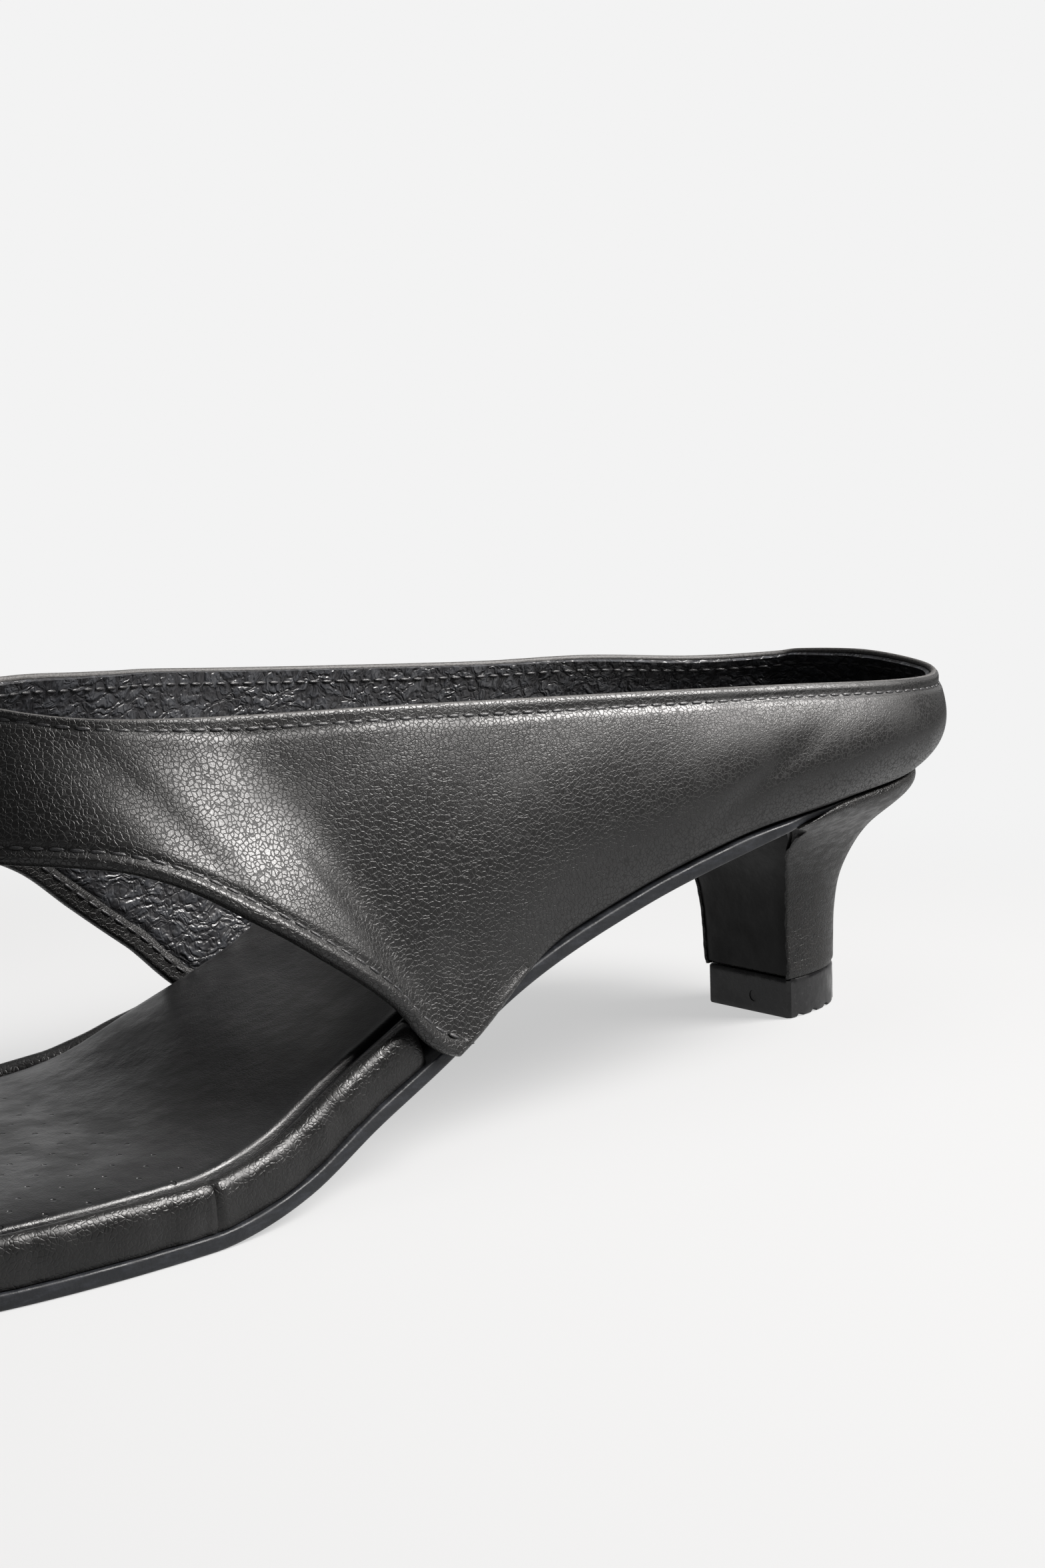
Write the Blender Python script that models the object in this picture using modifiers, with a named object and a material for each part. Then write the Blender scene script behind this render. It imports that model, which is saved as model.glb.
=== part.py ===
"""A left women's kitten heel mule with an open toe, built as a shoemaker's parts.

Frame: metres, +Z up, +X from the heel to the toe along the shoe's axis, +Y to the shoe's left,
which is the outer side of this left shoe. The origin is the middle of the top piece's flat
bottom. Heights above the sole are measured square to the sole's own curve.
"""
import math

import bmesh
import bpy
import numpy as np
from mathutils import Vector

# Driving sizes of the last and the sole
SHOE_LENGTH = 0.249
BALL_WIDTH = 0.0755
SEAT_HEIGHT = 0.0369
TOE_SPRING = 0.0055
TOPLINE_HEIGHT = 0.0528
THROAT_HEIGHT = 0.0653

# Driving sizes of the soles, the rand and the footbed
OUTSOLE_THICKNESS = 0.0021
SKIVED_THICKNESS = 0.0009
PLATFORM_HEIGHT = 0.0063
RAND_WIDTH = 0.0030
RAND_FLANGE = 0.0050
RAND_BULGE = 0.0003
RAND_ROUNDING = 0.0012
LASTING_MARGIN = 0.0080
FOOTBED_PAD = 0.0011
SOLE_EDGE = 0.0006

# Where the outsole's skived seat starts and ends to thicken, as shares of HEEL_SEAT_LENGTH
SKIVE_START = 0.8
SKIVE_END = 1.3

# Where the footbed narrows to lie inside the rand, as shares of SHOE_LENGTH, and the most that
# its raised edge may take of the sole's width on one side
NARROWING_START = 0.37
NARROWING_END = 0.43
LEDGE_SHARE = 0.45

# Driving sizes of the upper
UPPER_WALL = 0.0017

# Driving sizes of the heel
TOP_PIECE_WIDTH = 0.0170
TOP_PIECE_DEPTH = 0.0157
TOP_PIECE_HEIGHT = 0.0062
HEEL_SET_BACK = 0.0214
HEEL_TURN = math.radians(3.0)
HEEL_SEAT_WIDTH = 0.0500
HEEL_SEAT_LENGTH = 0.0440
BREAST_PANEL_THICKNESS = 0.0008
BREAST_BORDER = 0.0005
TOP_PIECE_SQUARENESS = 2.4
TOP_PIECE_CHAMFER = 0.00037
TREAD_GROOVES = 4
TREAD_GROOVE_PITCH = 0.00345
TREAD_GROOVE_WIDTH = 0.0015
TREAD_GROOVE_DEPTH = 0.0007

# Clearance between two pieces that touch on the real shoe
GAP = 0.0003

# Steps along the sole and round its outline over which their directions are taken
SLOPE_STEP = 0.0005
TURN_STEP = 0.004

# Sole sections from the back of the heel seat to the toe tip. Columns: distance along as a
# share of SHOE_LENGTH, outer and inner edge as shares of BALL_WIDTH, underside height as a
# share of SEAT_HEIGHT, and toe spring as a share of TOE_SPRING.
SOLE_SECTIONS = (
    (0.000, 0.000, 0.000, 1.000, 0.0),
    (0.020, 0.170, -0.170, 0.995, 0.0),
    (0.065, 0.297, -0.285, 0.985, 0.0),
    (0.150, 0.367, -0.345, 0.955, 0.0),
    (0.220, 0.381, -0.340, 0.880, 0.0),
    (0.300, 0.380, -0.315, 0.755, 0.0),
    (0.400, 0.398, -0.288, 0.532, 0.0),
    (0.450, 0.419, -0.292, 0.368, 0.0),
    (0.500, 0.444, -0.312, 0.226, 0.0),
    (0.550, 0.475, -0.345, 0.078, 0.0),
    (0.600, 0.502, -0.400, 0.006, 0.0),
    (0.650, 0.515, -0.448, 0.000, 0.0),
    (0.720, 0.510, -0.485, 0.000, 0.0),
    (0.800, 0.458, -0.468, 0.000, 0.0),
    (0.880, 0.378, -0.422, 0.000, 0.22),
    (0.940, 0.292, -0.362, 0.000, 0.55),
    (0.980, 0.165, -0.262, 0.000, 0.84),
    (1.000, -0.055, -0.055, 0.000, 1.0),
)
ALONG, OUTER, INNER, RISE, SPRING = range(5)

# The upper's rows on the sole, from the back of the heel to the side corner of the front
# edge. Columns: foot of the wall along the sole as a share of SHOE_LENGTH, then the topline
# above it: along as a share of SHOE_LENGTH, across as a share of BALL_WIDTH, height as a
# share of TOPLINE_HEIGHT, and the wall's outward swell in shares of BALL_WIDTH.
OUTER_WALL_ROWS = (
    (0.000, 0.0050, -0.005, 1.000, 0.040),
    (0.012, 0.0105, 0.172, 0.988, 0.042),
    (0.045, 0.0300, 0.252, 0.975, 0.044),
    (0.110, 0.0860, 0.318, 0.996, 0.044),
    (0.190, 0.1730, 0.335, 1.034, 0.040),
    (0.270, 0.2670, 0.335, 1.070, 0.038),
    (0.340, 0.3700, 0.325, 1.106, 0.038),
    (0.395, 0.4620, 0.309, 1.136, 0.038),
    (0.445, 0.5350, 0.275, 1.153, 0.034),
)
INNER_WALL_ROWS = (
    (0.012, 0.0090, -0.175, 0.987, 0.042),
    (0.045, 0.0230, -0.235, 0.977, 0.042),
    (0.110, 0.0750, -0.292, 0.985, 0.042),
    (0.190, 0.1570, -0.318, 1.027, 0.036),
    (0.270, 0.2390, -0.327, 1.051, 0.032),
    (0.340, 0.3300, -0.322, 1.090, 0.030),
    (0.410, 0.4250, -0.300, 1.136, 0.030),
    (0.4585, 0.4850, -0.262, 1.170, 0.026),
)

# The band over the instep, from the outer corner of the front edge to the inner corner.
# Columns: front edge along, across and height, then topline along, across and height, with
# along as a share of SHOE_LENGTH, across of BALL_WIDTH and height of THROAT_HEIGHT, and the
# band's swell in shares of BALL_WIDTH.
BAND_ROWS = (
    (0.483, 0.456, 0.356, 0.5800, 0.249, 0.944, 0.028),
    (0.527, 0.452, 0.481, 0.6080, 0.219, 0.953, 0.022),
    (0.560, 0.429, 0.567, 0.6270, 0.184, 0.963, 0.016),
    (0.590, 0.393, 0.639, 0.6400, 0.148, 0.973, 0.014),
    (0.618, 0.344, 0.683, 0.6470, 0.117, 0.980, 0.014),
    (0.644, 0.280, 0.700, 0.6515, 0.087, 0.988, 0.014),
    (0.668, 0.190, 0.706, 0.6540, 0.052, 0.995, 0.014),
    (0.686, 0.060, 0.712, 0.6545, 0.010, 1.000, 0.014),
    (0.683, -0.070, 0.710, 0.6480, -0.038, 1.005, 0.014),
    (0.656, -0.178, 0.694, 0.6350, -0.073, 1.008, 0.014),
    (0.618, -0.245, 0.640, 0.6120, -0.110, 1.000, 0.016),
    (0.574, -0.283, 0.562, 0.5820, -0.150, 0.990, 0.018),
    (0.540, -0.302, 0.462, 0.5500, -0.186, 0.975, 0.020),
    (0.506, -0.299, 0.358, 0.5180, -0.226, 0.960, 0.023),
)

# Heel sections from the top piece to the seat. Columns: rise, back of the heel and breast
# line along from the back of the shoe as shares of HEEL_SEAT_LENGTH, half width as a share
# of HEEL_SEAT_WIDTH, and squareness of the D-shaped outline.
HEEL_SECTIONS = (
    (0.00, 0.306, 0.647, 0.177, 2.3),
    (0.12, 0.304, 0.650, 0.179, 2.3),
    (0.30, 0.297, 0.655, 0.184, 2.3),
    (0.46, 0.273, 0.667, 0.200, 2.3),
    (0.60, 0.227, 0.701, 0.235, 2.4),
    (0.73, 0.172, 0.766, 0.296, 2.5),
    (0.85, 0.115, 0.846, 0.380, 2.6),
    (0.94, 0.076, 0.935, 0.450, 2.7),
    (1.00, 0.040, 1.020, 0.500, 2.7),
)

SOLE_ROWS = 56
UPPER_ROWS_PER_GAP = 4
WALL_RINGS = 10
BREAST_COLUMNS = 8
RAND_ROWS = 30
HEEL_LEVELS = 24
PANEL_LEVELS = 18
ROUND_POINTS = 23
BREAST_SHARES = (0.9, 0.7, 0.5, 0.3, 0.1)

# Where the rand ends on each side, as shares of SHOE_LENGTH
RAND_OUTER_END = 0.470
RAND_INNER_END = 0.478

# Where the heel starts to widen to the sole's edge, and where the breast panel ends, as rises
SEAT_BLEND_START = 0.62
PANEL_START = 0.01
PANEL_END = 0.90

# Turns at which the outsole and the footbed start at the back and end at the toe
OUTSOLE_START = 0.05
OUTSOLE_END = math.pi - 0.05
FOOTBED_START = 0.22
FOOTBED_END = math.pi - 0.17


def spline(knots, values, at):
    """Smooth curve through the values: a cubic whose slope at a knot is that of its neighbours."""
    knots, values, at = np.asarray(knots, float), np.asarray(values, float), np.asarray(at, float)
    slopes = np.gradient(values, knots, axis=0)
    i = np.clip(np.searchsorted(knots, at, side="right") - 1, 0, len(knots) - 2)
    span = knots[i + 1] - knots[i]
    t = (at - knots[i]) / span
    if values.ndim > 1:
        t, span = t[..., None], span[..., None]
    start, end = values[i], values[i + 1]
    return (start * (1 + 2 * t) * (1 - t) ** 2 + slopes[i] * span * t * (1 - t) ** 2
            + end * t * t * (3 - 2 * t) + slopes[i + 1] * span * t * t * (t - 1))


SECTIONS = np.array(SOLE_SECTIONS)
# The turn runs from 0 at the back of the seat to pi at the toe tip, so both ends come out round
SECTION_TURNS = np.arccos(1 - 2 * SECTIONS[:, ALONG])


def turn_at(along):
    return math.acos(1 - 2 * min(max(along, 0.0), 1.0))


def underside(x):
    """Height of the outsole's underside at a distance x from the back of the seat."""
    along = np.clip(np.asarray(x, float) / SHOE_LENGTH, 0.0, 1.0)
    rise = spline(SECTIONS[:, ALONG], SECTIONS[:, RISE], along)
    spring = spline(SECTIONS[:, ALONG], SECTIONS[:, SPRING], along)
    flat = SECTIONS[:, ALONG][(SECTIONS[:, RISE] == 0) & (SECTIONS[:, SPRING] == 0)]
    level = (along >= flat.min()) & (along <= flat.max())
    height = SEAT_HEIGHT * np.maximum(rise, 0) + TOE_SPRING * np.maximum(spring, 0)
    return np.where(level, 0.0, height)


def on_sole(x, y, height):
    """The point at a height square to the sole's curve, with x from the back of the seat."""
    slope = (underside(x + SLOPE_STEP) - underside(x - SLOPE_STEP)) / (2 * SLOPE_STEP)
    length = math.hypot(1.0, slope)
    return Vector((x - height * slope / length - HEEL_SET_BACK, y,
                   float(underside(x)) + height / length))


def outsole_thickness(x):
    """The outsole is skived thin over the heel seat and full ahead of the breast."""
    share = (x / HEEL_SEAT_LENGTH - SKIVE_START) / (SKIVE_END - SKIVE_START)
    blend = min(max(share, 0.0), 1.0)
    return SKIVED_THICKNESS + (OUTSOLE_THICKNESS - SKIVED_THICKNESS) * blend * blend * (3 - 2 * blend)


def rim(side, turn, inset):
    """A point of the sole's outline, moved inwards by the inset, as (x, y) from the seat's back."""
    def outline(t):
        along = 0.5 * (1 - math.cos(t))
        return along * SHOE_LENGTH, float(spline(SECTION_TURNS, SECTIONS[:, side], t)) * BALL_WIDTH
    x, y = outline(min(max(turn, 0.0), math.pi))
    x0, y0 = outline(max(turn - TURN_STEP, 0.0))
    x1, y1 = outline(min(turn + TURN_STEP, math.pi))
    sign = 1.0 if side == OUTER else -1.0
    along, across = (x1 - x0), (y1 - y0)
    if turn <= 0.0 or turn >= math.pi:
        along = 0.0
    length = math.hypot(along, across)
    return x + sign * inset * across / length, y - sign * inset * along / length


def collection(name):
    made = bpy.data.collections.new(name)
    bpy.context.scene.collection.children.link(made)
    return made


def material(name, colour, roughness):
    made = bpy.data.materials.new(name)
    made.use_nodes = True
    shader = made.node_tree.nodes["Principled BSDF"]
    shader.inputs["Base Color"].default_value = (*colour, 1.0)
    shader.inputs["Roughness"].default_value = roughness
    return made


def add_piece(name, verts, faces, surface, smooth_angle=40.0):
    """A mesh object of the shoe, with its faces turned outwards and round parts smooth."""
    mesh = bpy.data.meshes.new(name)
    mesh.from_pydata([tuple(v) for v in verts], [], faces)
    work = bmesh.new()
    work.from_mesh(mesh)
    bmesh.ops.remove_doubles(work, verts=work.verts, dist=0.00001)
    bmesh.ops.recalc_face_normals(work, faces=work.faces)
    work.to_mesh(mesh)
    work.free()
    mesh.materials.append(surface)
    mesh.shade_smooth()
    mesh.set_sharp_from_angle(angle=math.radians(smooth_angle))
    piece = bpy.data.objects.new(name, mesh)
    SHOE.objects.link(piece)
    return piece


def loft(sections):
    """Quads between equal closed rings, with a cap on each end."""
    count = len(sections[0])
    verts = [point for section in sections for point in section]
    faces = []
    for i in range(len(sections) - 1):
        for k in range(count):
            m = (k + 1) % count
            faces.append((i * count + k, i * count + m, (i + 1) * count + m, (i + 1) * count + k))
    faces.append(tuple(range(count - 1, -1, -1)))
    faces.append(tuple((len(sections) - 1) * count + k for k in range(count)))
    return verts, faces


def make_outsole(surface):
    """The thin outsole: one plate that follows the shank's curve from seat to toe."""
    sections = []
    for turn in np.linspace(OUTSOLE_START, OUTSOLE_END, SOLE_ROWS):
        edge = 0.25 * OUTSOLE_THICKNESS
        outer, inner = rim(OUTER, turn, 0.0), rim(INNER, turn, 0.0)
        thickness = outsole_thickness(outer[0])
        ring = []
        corners = ((edge, 0.0), (0.0, edge), (0.0, thickness - 0.4 * edge), (edge, thickness))
        for inset, height in corners:
            ring.append(on_sole(outer[0], outer[1] - inset, height))
        for inset, height in reversed(corners):
            ring.append(on_sole(inner[0], inner[1] + inset, height))
        sections.append(ring)
    return add_piece("outsole", *loft(sections), surface)


def footbed_inset(x):
    """The footbed lies inside the upper's wall at the back and inside the rand in front."""
    behind = SOLE_EDGE + UPPER_WALL + 2 * GAP
    ahead = SOLE_EDGE + RAND_WIDTH + 2 * GAP
    share = (x / SHOE_LENGTH - NARROWING_START) / (NARROWING_END - NARROWING_START)
    blend = min(max(share, 0.0), 1.0)
    return behind + (ahead - behind) * blend


def make_footbed(surface):
    """The padded footbed: its middle rests on the outsole and its edge on the lasting margin."""
    sections = []
    ledge = OUTSOLE_THICKNESS + UPPER_WALL + 2 * GAP
    for turn in np.linspace(FOOTBED_START, FOOTBED_END, SOLE_ROWS):
        x = 0.5 * (1 - math.cos(turn)) * SHOE_LENGTH
        inset = footbed_inset(x)
        top = OUTSOLE_THICKNESS + PLATFORM_HEIGHT - GAP
        bottom = outsole_thickness(x) + GAP
        margin = min(SOLE_EDGE + LASTING_MARGIN + 2 * GAP,
                     LEDGE_SHARE * (rim(OUTER, turn, 0.0)[1] - rim(INNER, turn, 0.0)[1]))
        profile = ((margin, bottom), (margin, ledge), (inset, ledge), (inset, top - FOOTBED_PAD),
                   (inset + 0.35 * FOOTBED_PAD, top - 0.35 * FOOTBED_PAD),
                   (inset + FOOTBED_PAD, top), (inset + 6 * FOOTBED_PAD, top + 0.55 * FOOTBED_PAD))
        outer = [on_sole(*rim(OUTER, turn, side), height) for side, height in profile]
        inner = [on_sole(*rim(INNER, turn, side), height) for side, height in profile]
        middle = (Vector(outer[-1]) + Vector(inner[-1])) / 2 + Vector((0, 0, 0.45 * FOOTBED_PAD))
        sections.append(outer + [middle] + inner[::-1])
    return add_piece("footbed", *loft(sections), surface)


def rand_path():
    """Places round the forefoot, from the outer end of the rand round the toe to the inner end."""
    outer = [(OUTER, turn) for turn in np.linspace(turn_at(RAND_OUTER_END), math.pi, RAND_ROWS)]
    inner = [(INNER, turn) for turn in np.linspace(math.pi, turn_at(RAND_INNER_END), RAND_ROWS)]
    return outer + inner[1:]


def make_rand(surface):
    """The rand: a leather strip wrapped over the platform's edge, open behind at both ends."""
    low = OUTSOLE_THICKNESS + GAP
    high = OUTSOLE_THICKNESS + PLATFORM_HEIGHT
    near = SOLE_EDGE
    far = near + RAND_WIDTH
    flange = OUTSOLE_THICKNESS + UPPER_WALL + GAP
    profile = ((near, low), (near - RAND_BULGE, 0.5 * (low + high)), (near, high - RAND_ROUNDING),
               (near + 0.3 * RAND_ROUNDING, high - 0.3 * RAND_ROUNDING), (near + RAND_ROUNDING, high),
               (far - 0.5 * RAND_ROUNDING, high - 0.1 * RAND_ROUNDING),
               (far, high - 0.5 * RAND_ROUNDING), (far, flange),
               (near + RAND_FLANGE, flange), (near + RAND_FLANGE, low))
    sections = [[on_sole(*rim(side, turn, inset), height) for inset, height in profile]
                for side, turn in rand_path()]
    return add_piece("rand", *loft(sections), surface)


def topline_point(along, across, height, full_height):
    return Vector((along * SHOE_LENGTH - HEEL_SET_BACK, across * BALL_WIDTH, height * full_height))


def on_rim(side, turn, inset):
    """A point of the upper's turned-under foot, just clear of the outsole's top face."""
    x, y = rim(side, turn, SOLE_EDGE + inset)
    return on_sole(x, y, outsole_thickness(x) + GAP)


def upper_rows():
    """Foot, topline and swell of each row, once round: outer side, band, inner side, back again."""
    rows = []
    for foot, along, across, height, swell in OUTER_WALL_ROWS:
        rows.append((on_rim(OUTER, turn_at(foot), 0.0),
                     topline_point(along, across, height, TOPLINE_HEIGHT), swell))
    for foot_along, foot_across, foot_height, along, across, height, swell in BAND_ROWS:
        rows.append((topline_point(foot_along, foot_across, foot_height, THROAT_HEIGHT),
                     topline_point(along, across, height, THROAT_HEIGHT), swell))
    for foot, along, across, height, swell in reversed(INNER_WALL_ROWS):
        rows.append((on_rim(INNER, turn_at(foot), 0.0),
                     topline_point(along, across, height, TOPLINE_HEIGHT), swell))
    return rows


def round_trip(values):
    """A smooth closed curve through the rows' values, with equal steps in each gap."""
    count = len(values)
    wrapped = np.array([values[i % count] for i in range(-3, count + 4)])
    knots = np.arange(-3, count + 4, dtype=float)
    return spline(knots, wrapped, np.arange(0, count, 1.0 / UPPER_ROWS_PER_GAP))


def wall_feet():
    """Side and turn of each fine row that stands on the sole, from the inner front corner
    round the back to the outer front corner."""
    outer = [turn_at(row[0]) for row in OUTER_WALL_ROWS]
    inner = [-turn_at(row[0]) for row in reversed(INNER_WALL_ROWS)]
    turns = np.array(inner + outer)
    at = np.linspace(0, len(turns) - 1, (len(turns) - 1) * UPPER_ROWS_PER_GAP + 1)
    fine = spline(np.arange(len(turns), dtype=float), turns, at)
    return [(OUTER if turn >= 0 else INNER, abs(turn)) for turn in fine]


def make_upper(surface):
    """The upper: quarters and instep band in one hollow wall, turned under the footbed."""
    rows = upper_rows()
    bottoms = round_trip([row[0] for row in rows])
    tops = round_trip([row[1] for row in rows])
    swells = round_trip([(row[2],) for row in rows])[:, 0] * BALL_WIDTH
    count = len(bottoms)
    feet = wall_feet()
    first = (len(rows) - len(INNER_WALL_ROWS)) * UPPER_ROWS_PER_GAP
    for offset, (side, turn) in enumerate(feet):
        bottoms[(first + offset) % count] = on_rim(side, turn, 0.0)
    outwards = []
    for i in range(count):
        ahead = Vector(bottoms[(i + 1) % count]) + Vector(tops[(i + 1) % count])
        behind = Vector(bottoms[i - 1]) + Vector(tops[i - 1])
        outwards.append(Vector(tops[i] - bottoms[i]).cross(ahead - behind).normalized())
    verts, faces = [], []
    for i in range(count):
        bottom, top = Vector(bottoms[i]), Vector(tops[i])
        outward = sum((outwards[(i + near) % count] for near in range(-3, 4)), Vector()).normalized()
        for k in range(WALL_RINGS + 1):
            share = k / WALL_RINGS
            belly = 4 * share * (1 - share) * (1 + 0.45 * (0.5 - share))
            verts.append(bottom.lerp(top, share) + outward * swells[i] * belly)
    ring = WALL_RINGS + 1
    for i in range(count):
        j = (i + 1) % count
        for k in range(WALL_RINGS):
            faces.append((i * ring + k, j * ring + k, j * ring + k + 1, i * ring + k + 1))
    # The lasting margin under the footbed runs out at both corners of the front edge
    margin = {}
    for offset, (side, turn) in enumerate(feet[1:-1], start=1):
        from_corner = min(offset, len(feet) - 1 - offset) / UPPER_ROWS_PER_GAP
        margin[offset] = len(verts)
        verts.append(on_rim(side, turn, LASTING_MARGIN * min(from_corner, 1.0)))
    for offset in range(len(feet) - 1):
        here = ((first + offset) % count) * ring
        there = ((first + offset + 1) % count) * ring
        corners = [here, margin.get(offset), margin.get(offset + 1), there]
        faces.append(tuple(corner for corner in corners if corner is not None))
    upper = add_piece("upper", verts, faces, surface)
    wall = upper.modifiers.new("wall", "SOLIDIFY")
    wall.thickness = UPPER_WALL
    wall.offset = -1.0
    wall.use_quality_normals = True
    return upper


def heel_underside(x):
    return float(underside(x)) - GAP


def d_ring(back, breast, half_width, squareness, height_at, rise, low):
    """A D-shaped ring: straight breast line and round back, tilted towards the seat as it rises."""
    depth = breast - back
    ring = []
    for angle in np.linspace(-math.pi / 2, math.pi / 2, ROUND_POINTS):
        x = breast - depth * abs(math.cos(angle)) ** (2 / squareness)
        y = half_width * math.copysign(abs(math.sin(angle)) ** (2 / squareness), math.sin(angle))
        ring.append((x, y))
    for share in BREAST_SHARES:
        ring.append((breast, half_width * (2 * share - 1)))
    turned = []
    for x, y in ring:
        turn = HEEL_TURN * (1 - rise)
        dx, dy = x - HEEL_SET_BACK, y
        px = dx * math.cos(turn) - dy * math.sin(turn)
        py = dx * math.sin(turn) + dy * math.cos(turn)
        top = height_at(px + HEEL_SET_BACK)
        turned.append(Vector((px, py, low + rise * (top - low))))
    return turned


def heel_section(rise):
    table = np.array(HEEL_SECTIONS)
    back, breast, half_width, squareness = (
        float(spline(table[:, 0], table[:, column], rise)) for column in range(1, 5))
    return (back * HEEL_SEAT_LENGTH, breast * HEEL_SEAT_LENGTH, half_width * HEEL_SEAT_WIDTH,
            squareness)


def seat_blend(rise):
    """How far a level of the heel has widened to the sole's own edge, from 0 to 1."""
    share = min(max((rise - SEAT_BLEND_START) / (1 - SEAT_BLEND_START), 0.0), 1.0)
    return share ** 3


def heel_ring(rise, low):
    """A level of the heel: D-shaped below, and the sole's own outline at the seat."""
    back, breast, half_width, squareness = heel_section(rise)
    ring = d_ring(back, breast, half_width, squareness, heel_underside, rise, low)
    blend = seat_blend(rise)
    end_turn = turn_at(breast / SHOE_LENGTH)
    seat = []
    for share in np.linspace(-1.0, 1.0, ROUND_POINTS):
        side = OUTER if share > 0 else INNER
        seat.append(rim(side, end_turn * abs(share), SOLE_EDGE))
    breast_ends = seat[-1][1], seat[0][1]
    for share in BREAST_SHARES:
        seat.append((breast, breast_ends[0] * share + breast_ends[1] * (1 - share)))
    widened = []
    for point, (x, y) in zip(ring, seat):
        px = point.x * (1 - blend) + (x - HEEL_SET_BACK) * blend
        py = point.y * (1 - blend) + y * blend
        top = heel_underside(px + HEEL_SET_BACK)
        widened.append(Vector((px, py, low + rise * (top - low))))
    return widened


def make_heel(surface):
    """The leather-covered heel block, slender below and flared to the seat."""
    low = TOP_PIECE_HEIGHT + GAP
    sections = [heel_ring(rise, low) for rise in np.linspace(0.0, 1.0, HEEL_LEVELS)]
    return add_piece("heel", *loft(sections), surface)


def make_breast_panel(surface):
    """The smooth panel on the heel's breast, set in from the folded edge of the heel cover."""
    low = TOP_PIECE_HEIGHT + GAP
    front, rings = [], np.linspace(PANEL_START, PANEL_END, PANEL_LEVELS)
    for rise in rings:
        _, breast, half_width, _ = heel_section(rise)
        reach = half_width - BREAST_BORDER
        for column in range(BREAST_COLUMNS + 1):
            y = reach * (2 * column / BREAST_COLUMNS - 1)
            turn = HEEL_TURN * (1 - rise)
            dx = breast + GAP + BREAST_PANEL_THICKNESS - HEEL_SET_BACK
            px = dx * math.cos(turn) - y * math.sin(turn)
            py = dx * math.sin(turn) + y * math.cos(turn)
            top = heel_underside(px + HEEL_SET_BACK)
            front.append(Vector((px, py, low + rise * (top - low))))
    width = BREAST_COLUMNS + 1
    faces = [(i * width + k, i * width + k + 1, (i + 1) * width + k + 1, (i + 1) * width + k)
             for i in range(len(rings) - 1) for k in range(BREAST_COLUMNS)]
    panel = add_piece("heel_breast_panel", front, faces, surface)
    sheet = panel.modifiers.new("sheet", "SOLIDIFY")
    sheet.thickness = BREAST_PANEL_THICKNESS
    sheet.offset = -1.0
    return panel


def make_top_piece(surface):
    """The moulded top piece that meets the floor, with four grooves across its tread."""
    breast = HEEL_SET_BACK + TOP_PIECE_DEPTH / 2
    back = HEEL_SET_BACK - TOP_PIECE_DEPTH / 2
    chamfer = TOP_PIECE_CHAMFER
    sections = []
    for height, inset in ((0.0, chamfer), (chamfer, 0.0), (TOP_PIECE_HEIGHT, 0.0)):
        ring = d_ring(back + inset, breast - inset, TOP_PIECE_WIDTH / 2 - inset,
                      TOP_PIECE_SQUARENESS, lambda x: 0.0, 0.0, height)
        sections.append(ring)
    piece = add_piece("top_piece", *loft(sections), surface)
    for index in range(TREAD_GROOVES):
        bpy.ops.mesh.primitive_cube_add(size=1.0)
        groove = bpy.context.object
        groove.name = f"tread_groove_cutter_{index + 1}"
        groove.dimensions = (TREAD_GROOVE_WIDTH, 2 * TOP_PIECE_WIDTH, 2 * TREAD_GROOVE_DEPTH)
        groove.location = ((index - (TREAD_GROOVES - 1) / 2) * TREAD_GROOVE_PITCH, 0.0, 0.0)
        groove.rotation_euler = (0.0, 0.0, HEEL_TURN)
        for owner in list(groove.users_collection):
            owner.objects.unlink(groove)
        CUTTERS.objects.link(groove)
        groove.hide_render = True
        groove.display_type = "WIRE"
        cut = piece.modifiers.new(groove.name, "BOOLEAN")
        cut.operation = "DIFFERENCE"
        cut.object = groove
    return piece


for old in list(bpy.data.objects):
    bpy.data.objects.remove(old, do_unlink=True)
SHOE = collection("kitten_heel_mule")
CUTTERS = collection("kitten_heel_mule_cutters")

make_upper(material("black_grained_leather", (0.022, 0.021, 0.021), 0.42))
make_footbed(material("black_footbed_leather", (0.017, 0.018, 0.020), 0.38))
make_rand(material("black_rand_leather", (0.024, 0.022, 0.022), 0.36))
make_outsole(material("black_sole_rubber", (0.020, 0.023, 0.030), 0.45))
make_heel(material("black_heel_leather", (0.024, 0.022, 0.021), 0.50))
make_breast_panel(material("black_breast_leather", (0.012, 0.012, 0.012), 0.40))
make_top_piece(material("black_top_piece_plastic", (0.018, 0.018, 0.019), 0.32))
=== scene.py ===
"""A left women's kitten heel mule in black leather, dressed for its picture.

The shoe is put together from the ground up: outsole, upper, lining, stitching, footbed, rand,
heel, breast panel and top piece, then the floor, the light and the camera. Metres, +X to the
toe, +Y to the outer side, +Z up, and the origin is the middle of the top piece's flat bottom.
"""
import math

import bmesh
import bpy
import numpy as np
from mathutils import Matrix, Vector


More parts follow.
